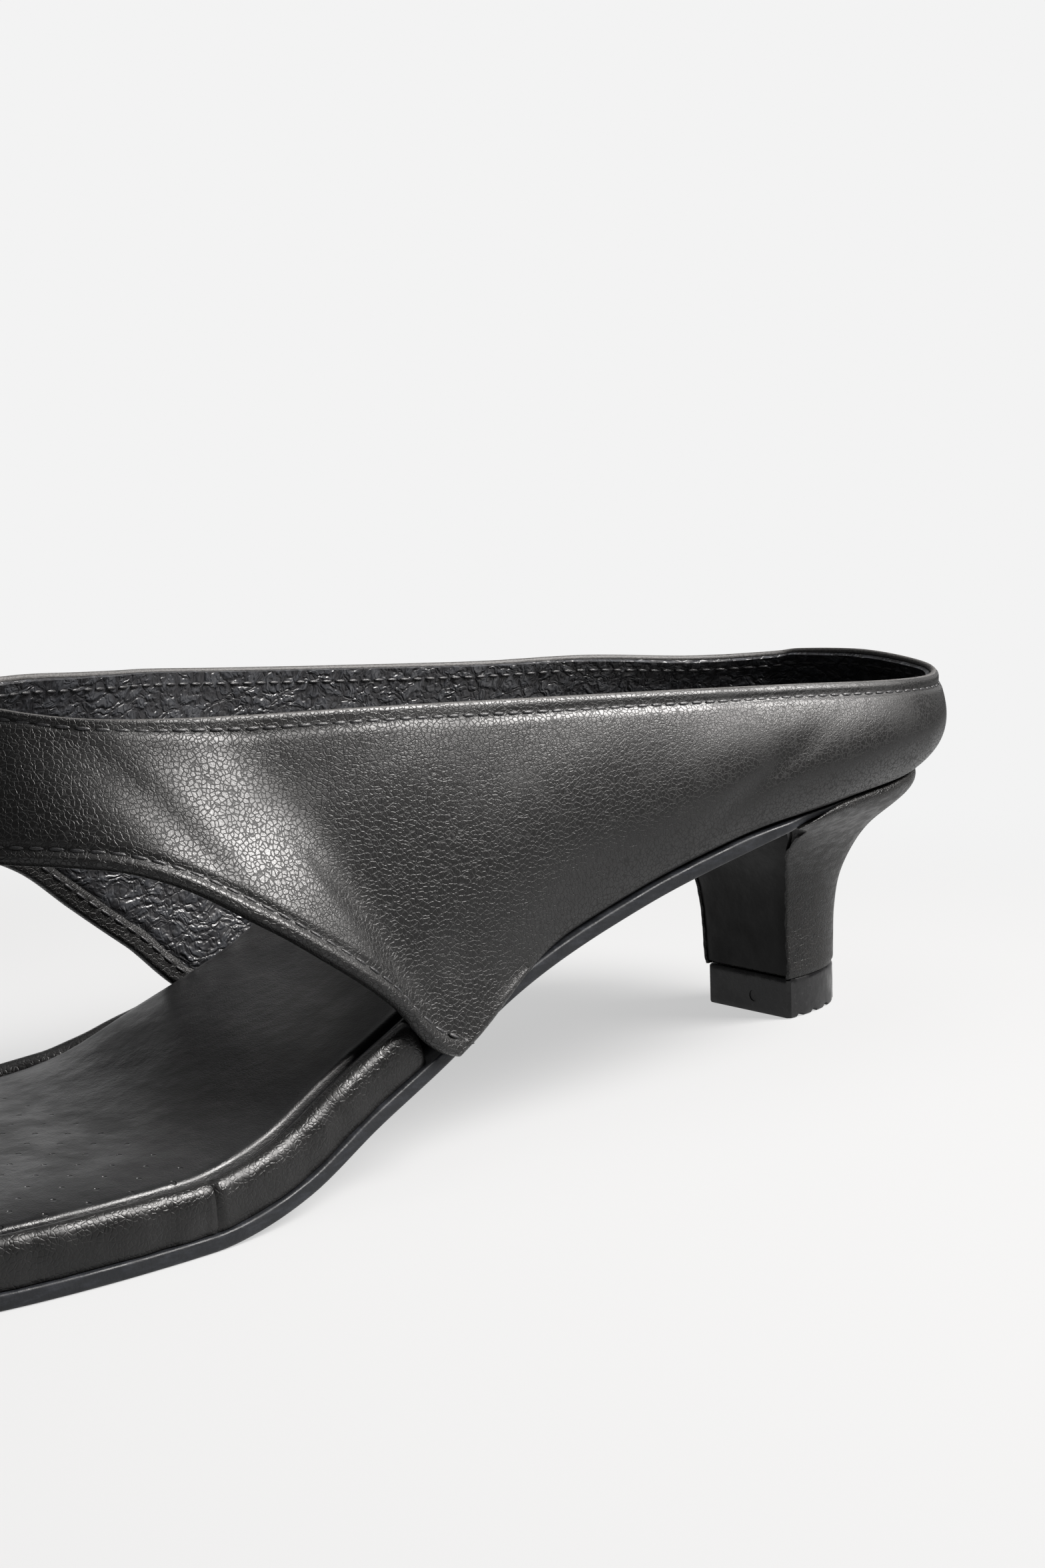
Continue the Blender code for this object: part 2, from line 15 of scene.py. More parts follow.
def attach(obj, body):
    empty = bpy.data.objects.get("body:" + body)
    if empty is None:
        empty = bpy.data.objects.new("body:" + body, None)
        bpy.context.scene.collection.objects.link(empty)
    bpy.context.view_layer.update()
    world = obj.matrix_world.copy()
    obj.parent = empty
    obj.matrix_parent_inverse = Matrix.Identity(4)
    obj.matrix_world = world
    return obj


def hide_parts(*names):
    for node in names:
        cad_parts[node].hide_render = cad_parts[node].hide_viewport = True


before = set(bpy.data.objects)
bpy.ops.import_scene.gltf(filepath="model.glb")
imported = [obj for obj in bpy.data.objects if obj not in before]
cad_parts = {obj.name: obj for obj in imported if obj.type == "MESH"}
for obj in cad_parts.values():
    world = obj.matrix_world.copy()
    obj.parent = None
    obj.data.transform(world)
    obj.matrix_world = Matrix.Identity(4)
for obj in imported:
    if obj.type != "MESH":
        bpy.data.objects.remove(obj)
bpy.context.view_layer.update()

# ---- Outsole ----
# One thin rubber sole, skived to a feather under the heel seat and about 2.1 mm thick ahead of
# the breast. It follows the shank's curve, lies flat at the ball and lifts a little at the toe.
SHOE_LENGTH = 0.249
BALL_WIDTH = 0.0755
SEAT_HEIGHT = 0.0369
TOE_SPRING = 0.0055
HEEL_SET_BACK = 0.0214
HEEL_SEAT_LENGTH = 0.0440
OUTSOLE_THICKNESS = 0.0021
SKIVED_THICKNESS = 0.0009
SEAT_INSET = 0.0011
SKIVE_START = 0.8
SKIVE_END = 1.3
EDGE_CORNER = 0.00055
TOP_CORNER = 0.00033
OUTSOLE_END_TURN = 0.05
SLOPE_STEP = 0.0005
TURN_STEP = 0.004

# Columns: share of the length, outer and inner edge as shares of the ball width, height of the
# underside as a share of the seat height, and share of the toe spring
SOLE_SECTIONS = np.array((
    (0.000, 0.000, 0.000, 1.000, 0.0),
    (0.020, 0.170, -0.170, 0.995, 0.0),
    (0.065, 0.297, -0.285, 0.985, 0.0),
    (0.150, 0.367, -0.345, 0.955, 0.0),
    (0.220, 0.381, -0.340, 0.880, 0.0),
    (0.300, 0.380, -0.315, 0.755, 0.0),
    (0.400, 0.398, -0.288, 0.532, 0.0),
    (0.450, 0.419, -0.292, 0.368, 0.0),
    (0.500, 0.444, -0.312, 0.226, 0.0),
    (0.550, 0.475, -0.345, 0.078, 0.0),
    (0.600, 0.502, -0.400, 0.006, 0.0),
    (0.650, 0.515, -0.448, 0.000, 0.0),
    (0.720, 0.510, -0.485, 0.000, 0.0),
    (0.800, 0.458, -0.468, 0.000, 0.0),
    (0.880, 0.378, -0.422, 0.000, 0.22),
    (0.940, 0.292, -0.362, 0.000, 0.55),
    (0.980, 0.165, -0.262, 0.000, 0.84),
    (1.000, -0.055, -0.055, 0.000, 1.0),
))
ALONG, OUTER, INNER, RISE, SPRING = range(5)
SECTION_TURNS = np.arccos(1 - 2 * SOLE_SECTIONS[:, ALONG])


def spline(knots, values, at):
    """A smooth curve through the values, each knot's slope taken from its neighbours."""
    knots, values, at = (np.asarray(a, float) for a in (knots, values, at))
    slopes = np.gradient(values, knots, axis=0)
    i = np.clip(np.searchsorted(knots, at, side="right") - 1, 0, len(knots) - 2)
    span = knots[i + 1] - knots[i]
    t = (at - knots[i]) / span
    if values.ndim > 1:
        t, span = t[..., None], span[..., None]
    return (values[i] * (1 + 2 * t) * (1 - t) ** 2 + slopes[i] * span * t * (1 - t) ** 2
            + values[i + 1] * t * t * (3 - 2 * t) + slopes[i + 1] * span * t * t * (t - 1))


def underside(x):
    """Height of the sole's underside at a distance from the back of the seat."""
    along = np.clip(x / SHOE_LENGTH, 0.0, 1.0)
    places = SOLE_SECTIONS[:, ALONG]
    rise = np.maximum(spline(places, SOLE_SECTIONS[:, RISE], along), 0)
    spring = np.maximum(spline(places, SOLE_SECTIONS[:, SPRING], along), 0)
    flat = places[(SOLE_SECTIONS[:, RISE] == 0) & (SOLE_SECTIONS[:, SPRING] == 0)]
    level = (along >= flat.min()) & (along <= flat.max())
    return np.where(level, 0.0, SEAT_HEIGHT * rise + TOE_SPRING * spring)


def on_sole(x, y, height):
    """Points at a height square to the sole's curve, in the shoe's frame."""
    slope = (underside(x + SLOPE_STEP) - underside(x - SLOPE_STEP)) / (2 * SLOPE_STEP)
    length = np.hypot(1.0, slope)
    return np.stack(np.broadcast_arrays(x - height * slope / length - HEEL_SET_BACK, y,
                                        underside(x) + height / length), axis=-1)


def rim(side, turn, inset):
    """Points of the sole's outline, moved inwards; the turn is 0 at the heel and pi at the toe."""
    def outline(t):
        edge = spline(SECTION_TURNS, SOLE_SECTIONS[:, side], t)
        return 0.5 * (1 - np.cos(t)) * SHOE_LENGTH, edge * BALL_WIDTH
    turn = np.clip(np.asarray(turn, float), 0.0, math.pi)
    x, y = outline(turn)
    x0, y0 = outline(np.maximum(turn - TURN_STEP, 0.0))
    x1, y1 = outline(np.minimum(turn + TURN_STEP, math.pi))
    along = np.where((turn <= 0.0) | (turn >= math.pi), 0.0, x1 - x0)
    across = y1 - y0
    length = np.hypot(along, across)
    sign = 1.0 if side == OUTER else -1.0
    return x + sign * inset * across / length, y - sign * inset * along / length


def smooth_step(value, low, high):
    t = np.clip((value - low) / (high - low), 0.0, 1.0)
    return t * t * (3 - 2 * t)


def outsole_thickness(x):
    blend = smooth_step(x, SKIVE_START * HEEL_SEAT_LENGTH, SKIVE_END * HEEL_SEAT_LENGTH)
    return SKIVED_THICKNESS + (OUTSOLE_THICKNESS - SKIVED_THICKNESS) * blend


def new_piece(name, verts, faces, surfaces, sharp_angle=50.0, merge=0.000002, marks=None):
    """A smooth-shaded mesh object at the origin with its faces turned outwards. The marks say
    which of the surfaces each face takes."""
    mesh = bpy.data.meshes.new(name)
    mesh.from_pydata(np.asarray(verts).reshape(-1, 3).tolist(), [], [list(f) for f in faces])
    for surface in surfaces:
        mesh.materials.append(surface)
    if marks is not None:
        mesh.polygons.foreach_set("material_index", marks)
    work = bmesh.new()
    work.from_mesh(mesh)
    bmesh.ops.remove_doubles(work, verts=work.verts, dist=merge)
    bmesh.ops.recalc_face_normals(work, faces=work.faces)
    work.to_mesh(mesh)
    work.free()
    mesh.shade_smooth()
    mesh.set_sharp_from_angle(angle=math.radians(sharp_angle))
    piece = bpy.data.objects.new(name, mesh)
    bpy.context.scene.collection.objects.link(piece)
    return piece


def ring_faces(count, width, capped=True, closed=False):
    """Quads between rings of points, capped at both ends or closed on themselves."""
    grid = np.arange(count * width).reshape(count, width)
    here = grid if closed else grid[:-1]
    there = np.roll(grid, -1, axis=0) if closed else grid[1:]
    quads = np.stack([here, np.roll(here, -1, 1), np.roll(there, -1, 1), there], -1)
    faces = quads.reshape(-1, 4).tolist()
    if capped and not closed:
        faces += [grid[0, ::-1].tolist(), grid[-1].tolist()]
    return faces


class Finish:
    """A node material read in the object's own coordinates, in metres."""

    def __init__(self, name, colour, roughness, specular=0.5, coat=0.0, coat_roughness=0.3):
        self.material = bpy.data.materials.new(name)
        self.material.use_nodes = True
        self.nodes = self.material.node_tree.nodes
        self.links = self.material.node_tree.links
        self.shader = self.nodes["Principled BSDF"]
        self.shader.inputs["Base Color"].default_value = (*colour, 1.0)
        self.shader.inputs["Roughness"].default_value = roughness
        self.shader.inputs["Specular IOR Level"].default_value = specular
        self.shader.inputs["Coat Weight"].default_value = coat
        self.shader.inputs["Coat Roughness"].default_value = coat_roughness
        self.place = self.nodes.new("ShaderNodeTexCoord").outputs["Object"]
        self.normal = None

    def put(self, kind, settings=None, **inputs):
        """Adds a node; each input takes a number, a colour or another node's output."""
        node = self.nodes.new(kind)
        for key, value in (settings or {}).items():
            setattr(node, key, value)
        for key, value in inputs.items():
            socket = node.inputs[int(key[1:])] if key[0] == "i" and key[1:].isdigit() else (
                node.inputs[key.replace("_", " ")])
            if isinstance(value, bpy.types.NodeSocket):
                self.links.new(value, socket)
            else:
                socket.default_value = value
        return node

    def stretch(self, scale, turn=(0.0, 0.0, 0.0), source=None):
        return self.put("ShaderNodeMapping", Vector=source or self.place, Scale=scale,
                        Rotation=turn).outputs[0]

    def noise(self, scale, detail=2.0, roughness=0.5, source=None):
        return self.put("ShaderNodeTexNoise", Vector=source or self.place, Scale=scale,
                        Detail=detail, Roughness=roughness).outputs[0]

    def cells(self, scale, feature="DISTANCE_TO_EDGE", source=None, randomness=1.0):
        return self.put("ShaderNodeTexVoronoi", {"feature": feature}, Vector=source or self.place,
                        Scale=scale, Randomness=randomness).outputs["Distance"]

    def math(self, operation, a, b=0.0):
        return self.put("ShaderNodeMath", {"operation": operation}, i0=a, i1=b).outputs[0]

    def between(self, value, low, high, to_low=0.0, to_high=1.0):
        """Maps a range smoothly to another one."""
        node = self.put("ShaderNodeMapRange", {"interpolation_type": "SMOOTHSTEP"}, Value=value)
        for index, number in enumerate((low, high, to_low, to_high), start=1):
            if isinstance(number, bpy.types.NodeSocket):
                self.links.new(number, node.inputs[index])
            else:
                node.inputs[index].default_value = number
        return node.outputs[0]

    def tint(self, factor, dark, light):
        node = self.put("ShaderNodeMix", {"data_type": "RGBA"})
        self.links.new(factor, node.inputs[0])
        node.inputs[6].default_value = (*dark, 1.0)
        node.inputs[7].default_value = (*light, 1.0)
        self.links.new(node.outputs[2], self.shader.inputs["Base Color"])
        return node.outputs[2]

    def gloss(self, factor, low, high):
        self.links.new(self.between(factor, 0.0, 1.0, low, high), self.shader.inputs["Roughness"])

    def relief(self, height, depth, strength=1.0):
        """A bump whose height socket runs from 0 to 1, with its real depth in metres."""
        node = self.put("ShaderNodeBump", Height=height, Distance=depth, Strength=strength)
        if self.normal is not None:
            self.links.new(self.normal, node.inputs["Normal"])
        self.normal = node.outputs[0]
        self.links.new(self.normal, self.shader.inputs["Normal"])


def sole_rubber():
    """Satin black rubber with a slight blue cast, faintly scuffed."""
    finish = Finish("sole_rubber", (0.010, 0.011, 0.014), 0.48, 0.32)
    scuffs = finish.noise(900.0, 5.0, 0.6, finish.stretch((0.35, 0.35, 1.6)))
    finish.tint(finish.between(scuffs, 0.45, 0.75), (0.008, 0.009, 0.011), (0.018, 0.020, 0.025))
    finish.gloss(finish.between(finish.noise(260.0, 3.0), 0.3, 0.7), 0.42, 0.58)
    finish.relief(finish.noise(1500.0, 3.0), 0.00006)
    finish.relief(finish.noise(180.0, 2.0), 0.0003)
    return finish.material


def make_outsole():
    rows, across = 260, 9
    turns = np.linspace(OUTSOLE_END_TURN, math.pi - OUTSOLE_END_TURN, rows)
    thickness = outsole_thickness(0.5 * (1 - np.cos(turns)) * SHOE_LENGTH)
    arc = np.linspace(0.0, math.pi / 2, 5)
    hidden = SEAT_INSET * (1 - smooth_step(0.5 * (1 - np.cos(turns)), 0.165, 0.19))
    x_out, y_out = rim(OUTER, turns, hidden)
    x_in, y_in = rim(INNER, turns, hidden)
    rings = []
    for share in np.linspace(0.08, 0.92, across):
        x, y = x_in + (x_out - x_in) * share, y_in + (y_out - y_in) * share
        rings.append(on_sole(x, y, np.zeros(rows)))
    for x, y, sign in ((x_out, y_out, 1.0), (x_in, y_in, -1.0)):
        low = [on_sole(x, y - sign * EDGE_CORNER * (1 - math.sin(bend)),
                       EDGE_CORNER * (1 - math.cos(bend))) for bend in arc]
        high = [on_sole(x, y - sign * TOP_CORNER * (1 - math.sin(bend)),
                        thickness - TOP_CORNER * (1 - math.cos(bend))) for bend in arc[::-1]]
        rings += low + high if sign > 0 else high[::-1] + low[::-1]
    sections = np.stack(rings, axis=1)
    return new_piece("sole_outsole", sections, ring_faces(rows, sections.shape[1]),
                     [sole_rubber()], 60.0)


outsole = make_outsole()
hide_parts("outsole")
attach(outsole, "root")


# ---- Upper ----
# The quarters and the instep band in one piece of fine-grained black leather about 1 mm thick,
# pulled over the last and turned under the footbed. The topline is a plain cut edge; the front
# edge of the band is folded over and sewn down.
TOPLINE_HEIGHT = 0.0528
THROAT_HEIGHT = 0.0653
SOLE_EDGE = 0.0006
UPPER_WALL = 0.0017
LEATHER_THICKNESS = 0.0010
GAP = 0.0003
RELAXING_ROUNDS = 240
ROWS_PER_GAP = 14
WALL_RINGS = 44
FOOT_RADIUS = 0.0010
FOLD_WIDTH = 0.0032
FRONT_STITCH_SET_BACK = 0.0022
TOP_STITCH_SET_BACK = 0.0021
CORNER_LAP = (-0.0014, 0.0024, -0.0010)

# Columns: foot of the wall along the sole, then the topline above it (along, across, height)
# and the wall's outward swell
OUTER_WALL_ROWS = (
    (0.000, 0.0050, -0.005, 1.000, 0.040),
    (0.012, 0.0105, 0.172, 0.988, 0.042),
    (0.045, 0.0300, 0.252, 0.975, 0.044),
    (0.110, 0.0860, 0.318, 0.996, 0.044),
    (0.190, 0.1730, 0.335, 1.034, 0.040),
    (0.270, 0.2670, 0.335, 1.070, 0.038),
    (0.340, 0.3700, 0.325, 1.106, 0.038),
    (0.395, 0.4620, 0.309, 1.136, 0.038),
    (0.445, 0.5350, 0.275, 1.153, 0.034),
)
INNER_WALL_ROWS = (
    (0.012, 0.0090, -0.175, 0.987, 0.042),
    (0.045, 0.0230, -0.235, 0.977, 0.042),
    (0.110, 0.0750, -0.292, 0.985, 0.042),
    (0.190, 0.1570, -0.318, 1.027, 0.036),
    (0.270, 0.2390, -0.327, 1.051, 0.032),
    (0.340, 0.3300, -0.322, 1.090, 0.030),
    (0.410, 0.4250, -0.300, 1.136, 0.030),
    (0.4585, 0.4850, -0.262, 1.170, 0.026),
)

# Columns: front edge of the band (along, across, height), topline (along, across, height), swell
BAND_ROWS = (
    (0.483, 0.456, 0.356, 0.5800, 0.249, 0.944, 0.028),
    (0.527, 0.452, 0.481, 0.6080, 0.219, 0.953, 0.022),
    (0.560, 0.429, 0.567, 0.6270, 0.184, 0.963, 0.016),
    (0.590, 0.393, 0.639, 0.6400, 0.148, 0.973, 0.014),
    (0.618, 0.344, 0.683, 0.6470, 0.117, 0.980, 0.014),
    (0.644, 0.280, 0.700, 0.6515, 0.087, 0.988, 0.014),
    (0.668, 0.190, 0.706, 0.6540, 0.052, 0.995, 0.014),
    (0.686, 0.060, 0.712, 0.6545, 0.010, 1.000, 0.014),
    (0.683, -0.070, 0.710, 0.6480, -0.038, 1.005, 0.014),
    (0.656, -0.178, 0.694, 0.6350, -0.073, 1.008, 0.014),
    (0.618, -0.245, 0.640, 0.6120, -0.110, 1.000, 0.016),
    (0.574, -0.283, 0.562, 0.5820, -0.150, 0.990, 0.018),
    (0.540, -0.302, 0.462, 0.5500, -0.186, 0.975, 0.020),
    (0.506, -0.299, 0.358, 0.5180, -0.226, 0.960, 0.023),
)


def turn_at(along):
    return math.acos(1 - 2 * along)


def on_rim(side, turn, inset):
    x, y = rim(side, turn, SOLE_EDGE + inset)
    return on_sole(x, y, outsole_thickness(x) + GAP)


def topline_point(along, across, height, full_height):
    return np.array((along * SHOE_LENGTH - HEEL_SET_BACK, across * BALL_WIDTH,
                     height * full_height))


def round_trip(values):
    count = len(values)
    wrapped = np.array([values[i % count] for i in range(-3, count + 4)])
    return spline(np.arange(-3, count + 4), wrapped, np.arange(0, count, 1.0 / ROWS_PER_GAP))


def unit(vectors):
    return vectors / np.maximum(np.linalg.norm(vectors, axis=-1, keepdims=True), 1e-12)


class Wall:
    """The upper's outer face: columns run once round the shoe, shares run from foot to topline."""

    def __init__(self):
        rows = [(on_rim(OUTER, turn_at(r[0]), 0.0), topline_point(*r[1:4], TOPLINE_HEIGHT), r[4])
                for r in OUTER_WALL_ROWS]
        rows += [(topline_point(*r[:3], THROAT_HEIGHT), topline_point(*r[3:6], THROAT_HEIGHT), r[6])
                 for r in BAND_ROWS]
        rows += [(on_rim(INNER, turn_at(r[0]), 0.0), topline_point(*r[1:4], TOPLINE_HEIGHT), r[4])
                 for r in reversed(INNER_WALL_ROWS)]
        self.foot = round_trip([row[0] for row in rows])
        self.top = round_trip([row[1] for row in rows])
        self.swell = round_trip([(row[2],) for row in rows])[:, 0] * BALL_WIDTH
        self.count = len(self.foot)
        turns = [-turn_at(r[0]) for r in reversed(INNER_WALL_ROWS)]
        turns += [turn_at(r[0]) for r in OUTER_WALL_ROWS]
        fine = spline(np.arange(len(turns)), np.array(turns),
                      np.linspace(0, len(turns) - 1, (len(turns) - 1) * ROWS_PER_GAP + 1))
        first = (len(rows) - len(INNER_WALL_ROWS)) * ROWS_PER_GAP
        self.on_sole = np.zeros(self.count, bool)
        for offset, turn in enumerate(fine):
            place = (first + offset) % self.count
            self.foot[place] = on_rim(OUTER if turn >= 0 else INNER, abs(turn), 0.0)
            self.on_sole[place] = True
        ahead = np.roll(self.foot, -1, 0) + np.roll(self.top, -1, 0)
        behind = np.roll(self.foot, 1, 0) + np.roll(self.top, 1, 0)
        outward = unit(np.cross(self.top - self.foot, ahead - behind))
        reach = int(3.5 * ROWS_PER_GAP / 4)
        self.outward = unit(sum(np.roll(outward, k, 0) for k in range(-reach, reach + 1)))
        # The leather runs down over the sole's edge at the outer front corner
        along = (self.foot[:, 0] + HEEL_SET_BACK) / SHOE_LENGTH
        corner = np.where(self.on_sole, smooth_step(along, 0.350, 0.440),
                          1 - smooth_step(along, 0.448, 0.482)) * (self.foot[:, 1] > 0)
        self.lap = corner[:, None] * np.array(CORNER_LAP)
        self.foot = self.foot - np.array((0.0, 0.0, 0.00022)) * self.on_sole[:, None]
        free = np.where(~self.on_sole)[0]
        self.front_edge = (self.foot + self.lap)[free[0] - 1:free[-1] + 2]

    def face(self, shares):
        """Points of the outer face for an array of shares, one row of shares for each column."""
        belly = 4 * shares * (1 - shares) * (1 + 0.45 * (0.5 - shares))
        return (self.foot[:, None] + (self.top - self.foot)[:, None] * shares[..., None]
                + self.outward[:, None] * (self.swell[:, None] * belly)[..., None]
                + self.lap[:, None] * ((1 - shares) ** 8)[..., None])

    def relaxed(self, grid, front, top):
        """The face with the kinks between its rows drawn smooth, its edges kept in place."""
        steps = np.linalg.norm(np.diff(grid, axis=1), axis=-1)
        foot = np.concatenate([np.zeros((len(grid), 1)), np.cumsum(steps, 1)], 1)
        edge = np.minimum(np.minimum(front, top), np.where(self.on_sole[:, None], foot, 1.0))
        free = smooth_step(edge, 0.0005, 0.0060)[..., None]
        grid = grid.copy()
        for step in range(RELAXING_ROUNDS):
            push = 0.50 if step % 2 == 0 else -0.52
            middle = grid[:, 1:-1]
            near = (np.roll(middle, 1, 0) + np.roll(middle, -1, 0) + grid[:, 2:] + grid[:, :-2]) / 4
            grid[:, 1:-1] = middle + push * free[:, 1:-1] * (near - middle)
        return grid

    def normals(self, grid):
        along = np.roll(grid, -1, 0) - np.roll(grid, 1, 0)
        up = np.gradient(grid, axis=1)
        return unit(np.cross(up, along))

    def from_front_edge(self, grid):
        """Distance of each point from the band's front edge."""
        start, end = self.front_edge[:-1], self.front_edge[1:]
        nearest = np.full(grid.shape[:2], 1.0)
        for a, b in zip(start, end):
            span = b - a
            t = np.clip(((grid - a) @ span) / (span @ span), 0.0, 1.0)
            gap = np.linalg.norm(grid - a - t[..., None] * span, axis=-1)
            nearest = np.minimum(nearest, gap)
        return nearest

    def from_topline(self, grid):
        steps = np.linalg.norm(np.diff(grid, axis=1), axis=-1)
        from_foot = np.concatenate([np.zeros((len(grid), 1)), np.cumsum(steps, 1)], 1)
        return from_foot[:, -1:] - from_foot


wall = Wall()
shares = np.tile(np.linspace(0.0, 1.0, WALL_RINGS + 1), (wall.count, 1))
outer_face = wall.face(shares)
front_distance = wall.from_front_edge(outer_face)
top_distance = wall.from_topline(outer_face)
outer_face = wall.relaxed(outer_face, front_distance, top_distance)
outer_normal = wall.normals(outer_face)
rises = unit(outer_face[:, 1] - outer_face[:, 0])
top_rises = unit(outer_face[:, -1] - outer_face[:, -2])


def hump(value, centre, width):
    return np.exp(-((value - centre) / width) ** 2)


def drawn_creases(grid):
    """Soft pulls where the leather is drawn round the arch, and flexing lines by the front edge.
    Each row: along and height of the middle, lean, half length, half width, depth, side."""
    pulls = (
        (0.0260, 0.0450, -0.35, 0.0075, 0.0016, -0.00020, 1),
        (0.0330, 0.0415, -0.45, 0.0085, 0.0018, -0.00024, 1),
        (0.0400, 0.0385, -0.50, 0.0070, 0.0016, -0.00016, 1),
        (0.0700, 0.0300, -0.60, 0.0100, 0.0022, -0.00018, 1),
        (0.0900, 0.0265, -0.75, 0.0080, 0.0020, -0.00014, 1),
        (0.0300, 0.0430, -0.40, 0.0080, 0.0017, -0.00020, -1),
        (0.0420, 0.0390, -0.50, 0.0080, 0.0018, -0.00018, -1),
        (0.0750, 0.0290, -0.65, 0.0090, 0.0020, -0.00016, -1),
    )
    depth = np.zeros(grid.shape[:2])
    for x, z, lean, length, width, amount, side in pulls:
        dx, dz = grid[..., 0] - x, grid[..., 2] - z
        run = dx * math.cos(lean) + dz * math.sin(lean)
        off = -dx * math.sin(lean) + dz * math.cos(lean)
        mask = (grid[..., 1] * side > 0)
        depth += amount * np.exp(-(run / length) ** 2 - (off / width) ** 2) * mask
    return depth


def leather_relief():
    fold = 0.00022 * hump(front_distance, 0.0009, 0.0008)
    sewn = -0.00034 * hump(front_distance, FRONT_STITCH_SET_BACK, 0.00050)
    lip = 0.00016 * hump(top_distance, 0.0008, 0.0007)
    row = -0.00034 * hump(top_distance, TOP_STITCH_SET_BACK, 0.00045)
    waves = 0.00010 * np.sin(outer_face[..., 0] * 210.0 + 2.0 * np.sin(outer_face[..., 2] * 130.0))
    waves = waves * smooth_step(top_distance, 0.002, 0.012) * smooth_step(front_distance, 0.003, 0.012)
    return fold + sewn + lip + row + waves + drawn_creases(outer_face)


relief = leather_relief()
outer_skin = outer_face + outer_normal * relief[..., None]


def upper_leather():
    """Fine pebbled calf: rounded cells with creased edges, semi-gloss, paler in soft random patches."""
    finish = Finish("upper_leather", (0.006, 0.006, 0.006), 0.38, 0.42, 0.14, 0.28)
    warp = finish.put("ShaderNodeTexNoise", Vector=finish.place, Scale=700.0, Detail=2.0)
    nudged = finish.put("ShaderNodeVectorMath", {"operation": "MULTIPLY_ADD"}, i0=warp.outputs[1],
                        i1=(0.0007, 0.0007, 0.0007), i2=finish.place).outputs[0]
    creases = finish.between(finish.cells(1500.0, source=nudged), 0.0, 0.13)
    fine = finish.between(finish.cells(2600.0, source=nudged), 0.0, 0.20)
    mottle = finish.noise(90.0, 4.0, 0.6)
    # The grain's crease lines are painted darker than the cells: painted shade in the creases, on top
    # of their bump. The soft random patches from the mottle are the leather's own tone.
    finish.tint(finish.math("MULTIPLY", creases, finish.between(mottle, 0.3, 0.7, 0.55, 1.0)),
                (0.001, 0.001, 0.001), (0.006, 0.0058, 0.0058))
    finish.gloss(finish.between(finish.math("MULTIPLY", creases, mottle), 0.1, 0.6), 0.60, 0.35)
    finish.links.new(finish.between(creases, 0.0, 1.0, 0.02, 0.15),
                     finish.shader.inputs["Coat Weight"])
    drawn = finish.put("ShaderNodeSeparateXYZ", Vector=finish.place).outputs[0]
    finish.relief(creases, 0.00004, finish.between(drawn, 0.02, 0.10, 0.25, 1.0))
    finish.relief(fine, 0.000010, 0.8)
    finish.relief(finish.noise(260.0, 3.0), 0.00008, 0.8)
    return finish.material


def cut_edge():
    """The bare cut edge of the leather, greyer and rougher than its face."""
    finish = Finish("leather_cut_edge", (0.055, 0.052, 0.050), 0.55)
    fibres = finish.noise(3000.0, 4.0, 0.6)
    finish.tint(finish.between(fibres, 0.3, 0.7), (0.030, 0.029, 0.028), (0.085, 0.082, 0.080))
    finish.relief(fibres, 0.00008)
    return finish.material


